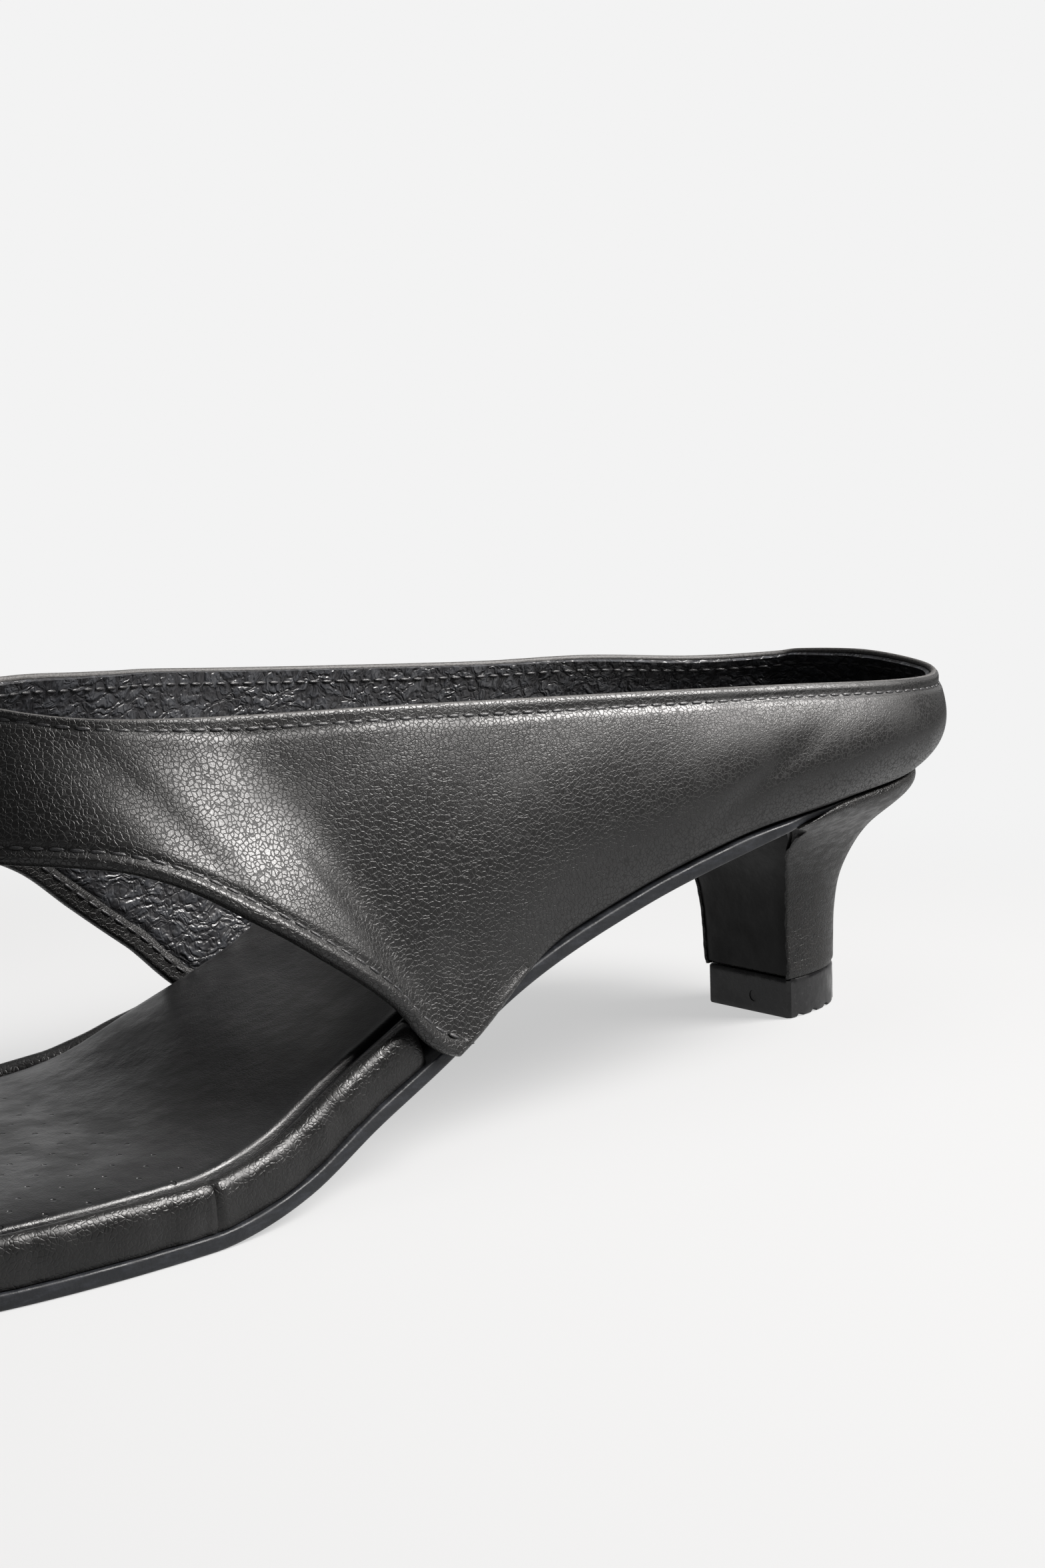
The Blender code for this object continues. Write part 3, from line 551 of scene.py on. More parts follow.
def make_upper():
    near_band = smooth_step(front_distance[:, 0], 0.0, 0.0060)
    on_the_sole = np.where(wall.on_sole, near_band, 0.0)[:, None]
    radius = (0.5 * UPPER_WALL + (FOOT_RADIUS - 0.5 * UPPER_WALL) * on_the_sole)
    arc = np.linspace(0.0, math.pi / 2, 7)
    rise, out = rises[:, None], outer_normal[:, :1]
    centre = outer_face[:, :1] + radius[..., None] * (rise - out)
    spoke = -rise * np.cos(arc)[None, :, None] + out * np.sin(arc)[None, :, None]
    foot_outer = centre + radius[..., None] * spoke
    inwards = wall.outward[:, None] * (0.0018 * on_the_sole * (1 - np.minimum(
        np.linalg.norm(wall.lap, axis=1)[:, None] / 0.002, 0.8)))[..., None]
    tail = foot_outer[:, :1] - inwards
    foot_back = LEATHER_THICKNESS * spoke
    fold_back = 2 * radius[..., None] * out * np.sin(arc)[None, :, None]
    blend = on_the_sole[..., None]
    foot_inner = foot_outer - (foot_back * blend + fold_back * (1 - blend))
    tail_inner = foot_inner[:, :1] - inwards
    lengths = top_distance[:, :1]
    kept = (lengths - top_distance > radius * 1.05) & (top_distance > 0.00052)
    body, body_inner = [], []
    folded = 1 - smooth_step(front_distance, FOLD_WIDTH - 0.0003, FOLD_WIDTH + 0.0003)
    depth = LEATHER_THICKNESS + (UPPER_WALL - LEATHER_THICKNESS) * folded
    clamp_low = foot_outer[:, -1]
    for k in range(1, WALL_RINGS):
        ok = kept[:, k][:, None]
        low = (lengths[:, 0] - top_distance[:, k] <= radius[:, 0] * 1.05)[:, None]
        edge_low = clamp_low
        edge_high = outer_skin[:, -1] - top_rises * 0.0005
        point = np.where(ok, outer_skin[:, k], np.where(low, edge_low, edge_high))
        body.append(point)
        inner_low = foot_inner[:, -1]
        inner_high = edge_high - outer_normal[:, -1] * LEATHER_THICKNESS
        deep = outer_face[:, k] - outer_normal[:, k] * depth[:, k][:, None]
        body_inner.append(np.where(ok, deep, np.where(low, inner_low, inner_high)))
    half = 0.5 * LEATHER_THICKNESS
    top_centre = outer_skin[:, -1] - top_rises * half - outer_normal[:, -1] * half
    edge = [top_centre + half * (outer_normal[:, -1] * math.cos(a) + top_rises * math.sin(a))
            for a in np.linspace(0.25, math.pi - 0.25, 7)]
    loop = ([tail[:, 0]] + [foot_outer[:, j] for j in range(len(arc))] + body + edge
            + body_inner[::-1] + [foot_inner[:, j] for j in range(len(arc) - 1, -1, -1)]
            + [tail_inner[:, 0]])
    sections = np.stack(loop, axis=1)
    edge_start = 1 + len(arc) + len(body)
    ring = np.arange(sections.shape[1])
    bare = (ring >= edge_start) & (ring < edge_start + len(edge) - 1)
    return new_piece("upper_leather_wall", sections,
                     ring_faces(wall.count, sections.shape[1], closed=True),
                     [upper_leather(), cut_edge()], 75.0, 0.0000005,
                     np.tile(bare.astype(np.int32), wall.count))


upper = make_upper()
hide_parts("upper")
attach(upper, "root")


# ---- Lining ----
# A thin bluish-black lining glued inside the upper and crackled by the last. It butts against
# the folded front edge, and its two halves meet in a seam up the middle of the back.


def lining_leather():
    finish = Finish("lining_leather", (0.012, 0.013, 0.015), 0.32, 0.7)
    warp = finish.put("ShaderNodeTexNoise", Vector=finish.place, Scale=220.0, Detail=3.0)
    nudged = finish.put("ShaderNodeVectorMath", {"operation": "MULTIPLY_ADD"}, i0=warp.outputs[1],
                        i1=(0.006, 0.006, 0.006), i2=finish.place).outputs[0]
    long = finish.stretch((0.42, 0.42, 1.0), (0.3, 0.7, 0.3), nudged)
    crackle = finish.between(finish.cells(620.0, source=long), 0.0, 0.30)
    small = finish.between(finish.cells(900.0, source=nudged), 0.0, 0.25)
    # The crackle lines are painted darker than the cells between them: painted shade in the wrinkles,
    # on top of their bump.
    finish.tint(crackle, (0.012, 0.012, 0.014), (0.040, 0.042, 0.047))
    finish.gloss(crackle, 0.44, 0.30)
    finish.relief(crackle, 0.00016, 0.8)
    finish.relief(small, 0.00008, 0.8)
    finish.relief(finish.noise(140.0, 3.0), 0.0008, 0.7)
    return finish.material


def sampled(grid, places):
    """The grid's columns read again at other shares of their rings."""
    at = places * (grid.shape[1] - 1)
    ring = np.clip(at.astype(int), 0, grid.shape[1] - 2)
    column = np.arange(len(grid))[:, None]
    t = (at - ring)[..., None]
    return grid[column, ring] * (1 - t) + grid[column, ring + 1] * t


def make_lining():
    height = top_distance[:, :1]
    start = np.where(wall.on_sole[:, None], 0.0008, 0.0025) / height
    end = 1.0 - 0.0004 / height
    ring = np.linspace(0.0, 1.0, WALL_RINGS + 1)[None, :]
    places = start + (end - start) * ring
    face = sampled(outer_face, places)
    normal = wall.normals(face)
    front = wall.from_front_edge(face)
    under_fold = 1 - smooth_step(front, FOLD_WIDTH - 0.0002, FOLD_WIDTH + 0.0006)
    ripple = (np.sin(face[..., 0] * 900 + 3 * np.sin(face[..., 2] * 700))
              * np.sin(face[..., 2] * 1100 + 2 * np.sin(face[..., 0] * 500)))
    seam = hump(face[..., 1] + 0.0004, 0.0, 0.0007) * (face[..., 0] < 0.0)
    surface = UPPER_WALL - 0.00005 * (1 + ripple) + 0.0002 * seam - 0.0006 * under_fold
    inside = face - normal * surface[..., None]
    outside = face - normal * (LEATHER_THICKNESS + 0.00002)
    sections = np.concatenate([outside, inside[:, ::-1]], axis=1)
    return new_piece("upper_lining", sections, ring_faces(wall.count, sections.shape[1], closed=True),
                     [lining_leather()], 60.0, 0.0000005)


lining = make_lining()
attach(lining, "root")


# ---- Stitching ----
# One row of black thread below the topline and one behind the folded front edge, seen on the
# leather outside and on the lining inside. Each stitch is pulled into the leather at its ends.
STITCH_PITCH = 0.00245


def stitch_tree():
    """Stitches along the piece's edges: the path's points carry their outward direction."""
    tree = bpy.data.node_groups.new("thread_row", "GeometryNodeTree")
    face = tree.interface
    face.new_socket("Path", in_out="INPUT", socket_type="NodeSocketGeometry")
    for label, value in (("Pitch", STITCH_PITCH), ("Stitch length", 0.0020), ("Thread", 0.00052)):
        face.new_socket(label, in_out="INPUT", socket_type="NodeSocketFloat").default_value = value
    face.new_socket("Finish", in_out="INPUT", socket_type="NodeSocketMaterial")
    face.new_socket("Stitches", in_out="OUTPUT", socket_type="NodeSocketGeometry")
    nodes, links = tree.nodes, tree.links
    given, made = nodes.new("NodeGroupInput"), nodes.new("NodeGroupOutput")

    def put(kind, **settings):
        node = nodes.new(kind)
        for key, value in settings.items():
            setattr(node, key, value)
        return node

    curve = put("GeometryNodeMeshToCurve")
    spaced = put("GeometryNodeResampleCurve", mode="LENGTH")
    tangent = put("GeometryNodeInputTangent")
    outward = put("GeometryNodeInputNamedAttribute", data_type="FLOAT_VECTOR")
    outward.inputs["Name"].default_value = "outward"
    along = put("FunctionNodeAlignRotationToVector", axis="X")
    upright = put("FunctionNodeAlignRotationToVector", axis="Z", pivot_axis="X")
    bead = put("GeometryNodeMeshUVSphere")
    bead.inputs["Segments"].default_value = 8
    bead.inputs["Rings"].default_value = 6
    bead.inputs["Radius"].default_value = 0.5
    size = put("ShaderNodeCombineXYZ")
    flat = put("ShaderNodeMath", operation="MULTIPLY")
    flat.inputs[1].default_value = 0.8
    shape = put("GeometryNodeTransform")
    smooth = put("GeometryNodeSetShadeSmooth")
    sow = put("GeometryNodeInstanceOnPoints")
    real = put("GeometryNodeRealizeInstances")
    paint = put("GeometryNodeSetMaterial")
    for source, target in (
            (given.outputs["Path"], curve.inputs[0]), (curve.outputs[0], spaced.inputs["Curve"]),
            (given.outputs["Pitch"], spaced.inputs["Length"]),
            (tangent.outputs[0], along.inputs["Vector"]),
            (along.outputs[0], upright.inputs["Rotation"]),
            (outward.outputs["Attribute"], upright.inputs["Vector"]),
            (given.outputs["Stitch length"], size.inputs[0]), (given.outputs["Thread"], size.inputs[1]),
            (given.outputs["Thread"], flat.inputs[0]), (flat.outputs[0], size.inputs[2]),
            (bead.outputs["Mesh"], shape.inputs["Geometry"]), (size.outputs[0], shape.inputs["Scale"]),
            (shape.outputs[0], smooth.inputs[0]), (smooth.outputs[0], sow.inputs["Instance"]),
            (spaced.outputs[0], sow.inputs["Points"]), (upright.outputs[0], sow.inputs["Rotation"]),
            (sow.outputs[0], real.inputs[0]), (real.outputs[0], paint.inputs[0]),
            (given.outputs["Finish"], paint.inputs["Material"]), (paint.outputs[0], made.inputs[0])):
        links.new(source, target)
    return tree


def thread_finish():
    finish = Finish("black_thread", (0.014, 0.014, 0.015), 0.40)
    twist = finish.noise(4000.0, 2.0, 0.5, finish.stretch((1.0, 1.0, 3.0)))
    finish.tint(finish.between(twist, 0.3, 0.7), (0.008, 0.008, 0.009), (0.030, 0.030, 0.032))
    finish.relief(twist, 0.00006)
    return finish.material


THREAD = thread_finish()
THREAD_ROW = stitch_tree()


def realised(source, name):
    """Turns an object with a live tree into a plain mesh object and drops the source."""
    graph = bpy.context.evaluated_depsgraph_get()
    mesh = bpy.data.meshes.new_from_object(source.evaluated_get(graph))
    bpy.data.objects.remove(source)
    mesh.name = name
    piece = bpy.data.objects.new(name, mesh)
    bpy.context.scene.collection.objects.link(piece)
    return piece


def sew(name, points, outwards, closed):
    mesh = bpy.data.meshes.new(name + "_path")
    count = len(points)
    edges = [(i, i + 1) for i in range(count - 1)] + ([(count - 1, 0)] if closed else [])
    mesh.from_pydata(np.asarray(points).tolist(), edges, [])
    attribute = mesh.attributes.new("outward", "FLOAT_VECTOR", "POINT")
    attribute.data.foreach_set("vector", np.asarray(outwards, np.float32).ravel())
    path = bpy.data.objects.new(name + "_path", mesh)
    bpy.context.scene.collection.objects.link(path)
    rows = path.modifiers.new("thread_row", "NODES")
    rows.node_group = THREAD_ROW
    for item in THREAD_ROW.interface.items_tree:
        if item.in_out == "INPUT" and item.name == "Finish":
            rows[item.identifier] = THREAD
    piece = realised(path, name)
    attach(piece, "root")
    return piece


def at_distance(distance, value, grid, normal, columns):
    """Where a distance field reaches a value along each column, going from foot to topline."""
    points, outs = [], []
    for i in columns:
        d = distance[i]
        above = np.where((d[:-1] < value) != (d[1:] < value))[0]
        if len(above):
            k = above[0]
            t = (value - d[k]) / (d[k + 1] - d[k])
            points.append(grid[i, k] * (1 - t) + grid[i, k + 1] * t)
            outs.append(normal[i, k] * (1 - t) + normal[i, k + 1] * t)
    return np.array(points), unit(np.array(outs))


every = range(wall.count)
lining_face = outer_face - outer_normal * UPPER_WALL
free_columns = np.where(~wall.on_sole)[0]
front_columns = range(free_columns[0] - 2 * ROWS_PER_GAP, free_columns[-1] + 2 * ROWS_PER_GAP)
for label, grid, direction in (("outside", outer_skin, 1.0), ("inside", lining_face, -1.0)):
    points, outs = at_distance(top_distance, TOP_STITCH_SET_BACK, grid, outer_normal, every)
    sew(f"stitches_topline_{label}", points, outs * direction, True)
    points, outs = at_distance(front_distance, FRONT_STITCH_SET_BACK, grid, outer_normal,
                               front_columns)
    sew(f"stitches_front_edge_{label}", points, outs * direction, False)


# ---- Footbed ----
# A padded insole board covered in smooth black leather. Its rolled edge leaves a narrow groove
# beside the rand and the lining, and the forefoot is pricked with fine pinholes.
PLATFORM_HEIGHT = 0.0063
RAND_WIDTH = 0.0030
FOOTBED_PAD = 0.0011
PINHOLE_PITCH = 0.0042
NARROWING_START = 0.37
NARROWING_END = 0.43


def footbed_leather():
    finish = Finish("footbed_leather", (0.005, 0.005, 0.006), 0.36, 0.38, 0.04, 0.25)
    wear = finish.noise(45.0, 4.0, 0.6)
    finish.tint(finish.between(wear, 0.35, 0.7), (0.003, 0.003, 0.0035), (0.007, 0.0075, 0.008))
    finish.gloss(finish.between(finish.noise(120.0, 4.0, 0.6), 0.3, 0.7), 0.30, 0.44)
    pricks = finish.put("ShaderNodeTexVoronoi", {"voronoi_dimensions": "2D", "feature": "F1"},
                        Vector=finish.stretch((1.0, 1.0, 1.0), (0.0, 0.0, 0.785)),
                        Scale=1.0 / PINHOLE_PITCH, Randomness=0.0).outputs["Distance"]
    along = finish.put("ShaderNodeSeparateXYZ", Vector=finish.place).outputs[0]
    behind = finish.between(along, 0.128, 0.129, 1.0, 0.0)
    flat = finish.math("MAXIMUM", finish.between(pricks, 0.05, 0.10), behind)
    finish.relief(flat, 0.00022, 0.9)
    finish.relief(finish.between(finish.cells(2100.0), 0.0, 0.2), 0.000016, 0.6)
    finish.relief(finish.noise(160.0, 3.0), 0.00035, 0.8)
    return finish.material


def footbed_inset(x):
    behind = SOLE_EDGE + UPPER_WALL + 2 * GAP
    ahead = SOLE_EDGE + RAND_WIDTH + 2 * GAP
    share = (x / SHOE_LENGTH - NARROWING_START) / (NARROWING_END - NARROWING_START)
    return behind + (ahead - behind) * np.clip(share, 0.0, 1.0)


def make_footbed():
    rows = 220
    turns = 0.5 * math.pi * (1 - np.cos(np.linspace(0.09, math.pi - 0.09, rows)))
    x = 0.5 * (1 - np.cos(turns)) * SHOE_LENGTH
    inset = footbed_inset(x)
    top = OUTSOLE_THICKNESS + PLATFORM_HEIGHT - GAP
    ledge = OUTSOLE_THICKNESS + UPPER_WALL + 2 * GAP
    # A thin rolled edge, a dip, and then the padded top: shares of the pad inwards and upwards
    edge = FOOTBED_PAD * np.array([(-0.22, -1.55), (-0.18, -1.15), (0.02, -0.86), (0.24, -0.80),
                                   (0.46, -0.88), (0.62, -1.15), (0.74, -1.20), (0.84, -0.95),
                                   (0.92, -0.50), (1.10, -0.20), (1.45, -0.02), (2.2, 0.11),
                                   (4.0, 0.34), (6.0, 0.55)])
    outline = [(inset, np.full(rows, ledge))]
    # The padding's slope is drawn in where the toe bends round more tightly than it is wide
    ease = 1 - 0.5 * smooth_step(turns, math.pi - 0.55, math.pi - 0.05)
    outline += [(inset + dx * ease, np.full(rows, top + dz)) for dx, dz in edge]
    outer = [on_sole(*rim(OUTER, turns, side), height) for side, height in outline]
    inner = [on_sole(*rim(INNER, turns, side), height) for side, height in outline]
    low, high = inner[-1], outer[-1]
    middle = []
    for share in np.linspace(0.0, 1.0, 15)[1:-1]:
        crown = 0.45 * FOOTBED_PAD * 4 * share * (1 - share)
        point = high + (low - high) * share
        point[:, 2] += crown
        middle.append(point)
    sections = np.stack(outer + middle + inner[::-1], axis=1)
    return new_piece("footbed_cover", sections, ring_faces(rows, sections.shape[1]),
                     [footbed_leather()], 60.0)


footbed = make_footbed()
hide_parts("footbed")
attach(footbed, "root")


# ---- Rand ----
# A strip of leather wrapped over the edge of the forefoot platform and stuck down under it, with
# a closing seam on the outer side. Its ends are tucked in front of the upper.
RAND_FLANGE = 0.0050
RAND_SEAM_ALONG = 0.610
RAND_OUTER_END = 0.455
RAND_INNER_END = 0.463
RAND_END_ROUNDING = 0.0022
RAND_INNER_TAPER = 0.0028


def rand_leather():
    finish = Finish("rand_leather", (0.006, 0.006, 0.006), 0.36, 0.32, 0.06, 0.25)
    grain = finish.between(finish.cells(1500.0), 0.0, 0.2)
    finish.tint(finish.between(finish.noise(120.0, 4.0), 0.3, 0.7), (0.003, 0.003, 0.003),
                (0.008, 0.0078, 0.0078))
    finish.gloss(finish.between(finish.noise(300.0, 4.0, 0.6), 0.3, 0.7), 0.30, 0.46)
    finish.relief(grain, 0.000035, 0.8)
    finish.relief(finish.noise(330.0, 3.0), 0.00025, 0.9)
    return finish.material


def make_rand():
    close = np.linspace(0.0, 1.0, 8) ** 2 * 0.02
    outer = np.concatenate([turn_at(RAND_OUTER_END) + close[:-1],
                            np.linspace(turn_at(RAND_OUTER_END) + 0.02, math.pi, 260)])
    inner = np.concatenate([np.linspace(math.pi, turn_at(RAND_INNER_END) + 0.02, 260)[1:],
                            (turn_at(RAND_INNER_END) + close[:-1])[::-1]])
    low = OUTSOLE_THICKNESS + 0.00006
    flange = OUTSOLE_THICKNESS + UPPER_WALL + GAP
    profile = np.array([(0.00015, 0.0), (0.00002, 0.03), (-0.00012, 0.12), (-0.00026, 0.35),
                        (-0.00026, 0.60), (-0.00012, 0.78), (0.00010, 0.87), (0.00042, 0.94),
                        (0.00085, 0.985), (0.0013, 1.0), (0.0018, 0.985), (0.0023, 0.945),
                        (0.0027, 0.885), (0.0030, 0.79)])
    seam = turn_at(RAND_SEAM_ALONG)
    path = [(OUTER, t) for t in outer] + [(INNER, t) for t in inner]
    places = np.array([0.5 * (1 - math.cos(t)) * SHOE_LENGTH for _, t in path])
    run_from_start = np.abs(places - places[0])
    run_from_end = np.abs(places - places[-1])
    sections = []
    for index, (side, turn) in enumerate(path):
        from_end = min(run_from_start[index] if side == OUTER else 1.0,
                       run_from_end[index] if side == INNER else 1.0)
        curl = 1 - math.sqrt(max(1 - (1 - min(from_end / RAND_END_ROUNDING, 1.0)) ** 2, 0.0))
        high = OUTSOLE_THICKNESS + PLATFORM_HEIGHT - 0.0010 * curl
        if side == INNER:
            high -= RAND_INNER_TAPER * (1 - smooth_step(run_from_end[index], 0.0, 0.028))
        pleat = 0.00007 * math.sin(turn * 95.0 + 1.3 * math.sin(turn * 31.0))
        notch, lap = 0.0, 0.0
        if side == OUTER:
            run = (turn - seam) * 0.5 * SHOE_LENGTH
            notch = 0.00038 * math.exp(-(run / 0.00032) ** 2)
            lap = 0.00022 * math.exp(-max(run, 0.0) / 0.005) * (run > 0)
            pleat += 0.00012 * math.sin(run * 900.0) * math.exp(-max(run, 0.0) / 0.012) * (run > 0)
        tuck = SOLE_EDGE + notch - lap + pleat + 0.0016 * curl
        ring = [on_sole(*rim(side, turn, tuck + inset), low + (high - low) * share - 0.5 * notch)
                for inset, share in profile]
        for inset, height in ((RAND_WIDTH, flange), (RAND_FLANGE, flange), (RAND_FLANGE, low)):
            ring.append(on_sole(*rim(side, turn, SOLE_EDGE + inset), height))
        sections.append(ring)
    sections = np.array(sections)
    return new_piece("rand_strip", sections, ring_faces(*sections.shape[:2]), [rand_leather()], 60.0)


rand = make_rand()
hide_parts("rand")
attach(rand, "root")


# ---- Heel ----
# A slim plastic heel covered in the upper's leather, glued on from the back round to the breast,
# where the cover is folded into a thin upright lip along each side.
TOP_PIECE_WIDTH = 0.0170
TOP_PIECE_DEPTH = 0.0157
TOP_PIECE_HEIGHT = 0.0062
HEEL_TURN = math.radians(3.0)
HEEL_SEAT_WIDTH = 0.0500
COVER_LIP = 0.00045
LIP_REACH = 0.00115
BREAST_PANEL_THICKNESS = 0.0008
SEAT_BLEND_START = 0.62

# Columns: rise, back and breast as shares of the seat length, half width as a share of the seat
# width, and squareness of the D-shaped section
HEEL_SECTIONS = np.array((
    (0.00, 0.306, 0.647, 0.177, 2.3),
    (0.12, 0.304, 0.650, 0.179, 2.3),
    (0.30, 0.297, 0.655, 0.184, 2.3),
    (0.46, 0.273, 0.667, 0.200, 2.3),
    (0.60, 0.227, 0.701, 0.235, 2.4),
    (0.73, 0.172, 0.766, 0.296, 2.5),
    (0.85, 0.115, 0.846, 0.380, 2.6),
    (0.94, 0.076, 0.935, 0.450, 2.7),
    (1.00, 0.040, 1.020, 0.500, 2.7),
))


def heel_section(rise):
    back, breast, half_width, squareness = (
        float(spline(HEEL_SECTIONS[:, 0], HEEL_SECTIONS[:, column], rise)) for column in range(1, 5))
    return (back * HEEL_SEAT_LENGTH, breast * HEEL_SEAT_LENGTH, half_width * HEEL_SEAT_WIDTH,
            squareness)


def in_heel(x, y, rise, low, clearance=GAP):
    """Points of a level across the heel, turned with it and tilted to the seat as they rise."""
    turn = HEEL_TURN * (1 - rise)
    dx = x - HEEL_SET_BACK
    px = dx * math.cos(turn) - y * math.sin(turn)
    py = dx * math.sin(turn) + y * math.cos(turn)
    top = underside(px + HEEL_SET_BACK) - clearance
    return np.stack([px, py, low + rise * (top - low)], axis=-1)


def heel_leather():
    finish = Finish("heel_leather", (0.008, 0.008, 0.008), 0.46, 0.30)
    grain = finish.between(finish.cells(1700.0), 0.0, 0.18)
    strain = finish.noise(420.0, 4.0, 0.65, finish.stretch((1.0, 1.0, 2.4)))
    finish.tint(finish.between(strain, 0.35, 0.7), (0.004, 0.004, 0.004), (0.010, 0.0095, 0.009))
    finish.gloss(finish.between(strain, 0.3, 0.7), 0.38, 0.54)
    finish.relief(grain, 0.00005, 0.9)
    finish.relief(strain, 0.00014, 0.8)
    return finish.material


def seat_outline(breast, count):
    """The sole's own edge round the seat, from the inner breast corner to the outer one."""
    shares = np.linspace(-1.0, 1.0, count)
    turns = turn_at(breast / SHOE_LENGTH) * np.abs(shares)
    outer, inner = rim(OUTER, turns, SOLE_EDGE * 0.5), rim(INNER, turns, SOLE_EDGE * 0.5)
    return np.where(shares > 0, outer[0], inner[0]), np.where(shares > 0, outer[1], inner[1])


def make_heel():
    low = TOP_PIECE_HEIGHT + 0.3 * GAP
    angles = np.linspace(-math.pi / 2, math.pi / 2, 81)
    sections = []
    for rise in np.linspace(0.0, 1.0, 90):
        back, breast, half_width, squareness = heel_section(rise)
        edge = smooth_step(rise, 0.0, 0.03)
        back += 0.0003 * (1 - edge)
        half_width -= 0.0003 * (1 - edge)
        x = breast - (breast - back) * np.abs(np.cos(angles)) ** (2 / squareness)
        y = half_width * np.sign(np.sin(angles)) * np.abs(np.sin(angles)) ** (2 / squareness)
        blend = max((rise - SEAT_BLEND_START) / (1 - SEAT_BLEND_START), 0.0) ** 3
        seat_x, seat_y = seat_outline(breast, len(angles))
        x, y = x * (1 - blend) + seat_x * blend, y * (1 - blend) + seat_y * blend
        reach = LIP_REACH * (1 - smooth_step(rise, 0.86, 0.93))
        wander = 0.00010 * math.sin(rise * 47.0) + 0.00006 * math.sin(rise * 113.0)
        corner = 0.00016
        lips = []
        for wide, sign in ((y[-1], -1.0), (y[0], 1.0)):
            lips.append([(breast + 0.5 * reach, wide), (breast + reach - corner, wide),
                         (breast + reach, wide + sign * (corner + wander * 0.5)),
                         (breast + reach - corner, wide + sign * (COVER_LIP + wander)),
                         (breast, wide + sign * COVER_LIP)])
        outer_lip, inner_lip = lips
        x = np.concatenate([[p[0] for p in inner_lip[::-1]], x, [p[0] for p in outer_lip]])
        y = np.concatenate([[p[1] for p in inner_lip[::-1]], y, [p[1] for p in outer_lip]])
        sections.append(in_heel(x, y, rise, low, 0.00005))
    # The cover's top edge stands up a little past the sole's skived edge, with a soft corner
    seat = sections[-1]
    middle = seat.mean(axis=0)
    for rim_rise, inset in ((0.00045, 0.00002), (0.00078, 0.00016), (0.00088, 0.00042),
                            (0.00088, 0.0009), (0.0, 0.00095)):
        inwards = unit((middle - seat) * np.array((1.0, 1.0, 0.0)))
        raised = seat + inwards * inset + np.array((0.0, 0.0, rim_rise))
        back_of_breast = smooth_step(0.0225 - raised[:, :1], 0.0, 0.010)
        sections.append(seat * (1 - back_of_breast) + raised * back_of_breast)
    sections = np.array(sections)
    return new_piece("heel_cover", sections, ring_faces(*sections.shape[:2]), [heel_leather()], 50.0)


heel = make_heel()
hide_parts("heel")
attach(heel, "root")


# ---- Breast panel ----
# A smooth black facing on the front of the heel, cut from thin leather and glued between the
# cover's two lips.
PANEL_START = 0.012
PANEL_END = 0.90


def breast_leather():
    finish = Finish("breast_leather", (0.003, 0.003, 0.003), 0.42, 0.15)
    finish.gloss(finish.between(finish.noise(200.0, 4.0), 0.3, 0.7), 0.36, 0.50)
    finish.tint(finish.between(finish.noise(500.0, 4.0), 0.4, 0.7), (0.002, 0.002, 0.002),
                (0.005, 0.005, 0.005))
    finish.relief(finish.noise(260.0, 3.0), 0.0003, 0.6)
    return finish.material


def make_breast_panel():
    low = TOP_PIECE_HEIGHT + GAP
    sections = []
    for rise in np.linspace(PANEL_START, PANEL_END, 60):
        _, breast, half_width, _ = heel_section(rise)
        reach = half_width - COVER_LIP - 0.00006
        front = breast + GAP + BREAST_PANEL_THICKNESS
        y = np.linspace(-reach, reach, 25)
        x = front - 0.0003 * np.abs(y / reach) ** 12
        x = np.concatenate([x, [breast + 0.0001] * 2])
        y = np.concatenate([y, [reach, -reach]])
        sections.append(in_heel(x, y, rise, low))
    sections = np.array(sections)
    return new_piece("heel_breast_facing", sections, ring_faces(*sections.shape[:2]),
                     [breast_leather()], 40.0)


breast_panel = make_breast_panel()
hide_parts("heel_breast_panel")
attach(breast_panel, "root")


# ---- Top piece ----
# A moulded block of tough black plastic pinned under the heel. Grooves cross its tread, and a
# small round moulding mark is left in its front face.
TOP_PIECE_SQUARENESS = 2.4
TOP_PIECE_CHAMFER = 0.00037
TREAD_GROOVES = 4
TREAD_GROOVE_PITCH = 0.22 * TOP_PIECE_DEPTH
TREAD_GROOVE_RADIUS = 0.00095
MARK_RADIUS = 0.0009
MARK_DEPTH = 0.0006
BREAST_CORNER = 0.0005


def top_piece_plastic():
    finish = Finish("top_piece_plastic", (0.006, 0.006, 0.006), 0.34, 0.35)
    specks = finish.noise(1600.0, 4.0, 0.6)
    finish.tint(finish.between(specks, 0.55, 0.8), (0.005, 0.005, 0.0055), (0.020, 0.020, 0.021))
    finish.gloss(finish.between(finish.noise(350.0, 4.0), 0.3, 0.7), 0.24, 0.42)
    finish.relief(finish.noise(700.0, 3.0), 0.00012, 0.6)
    return finish.material


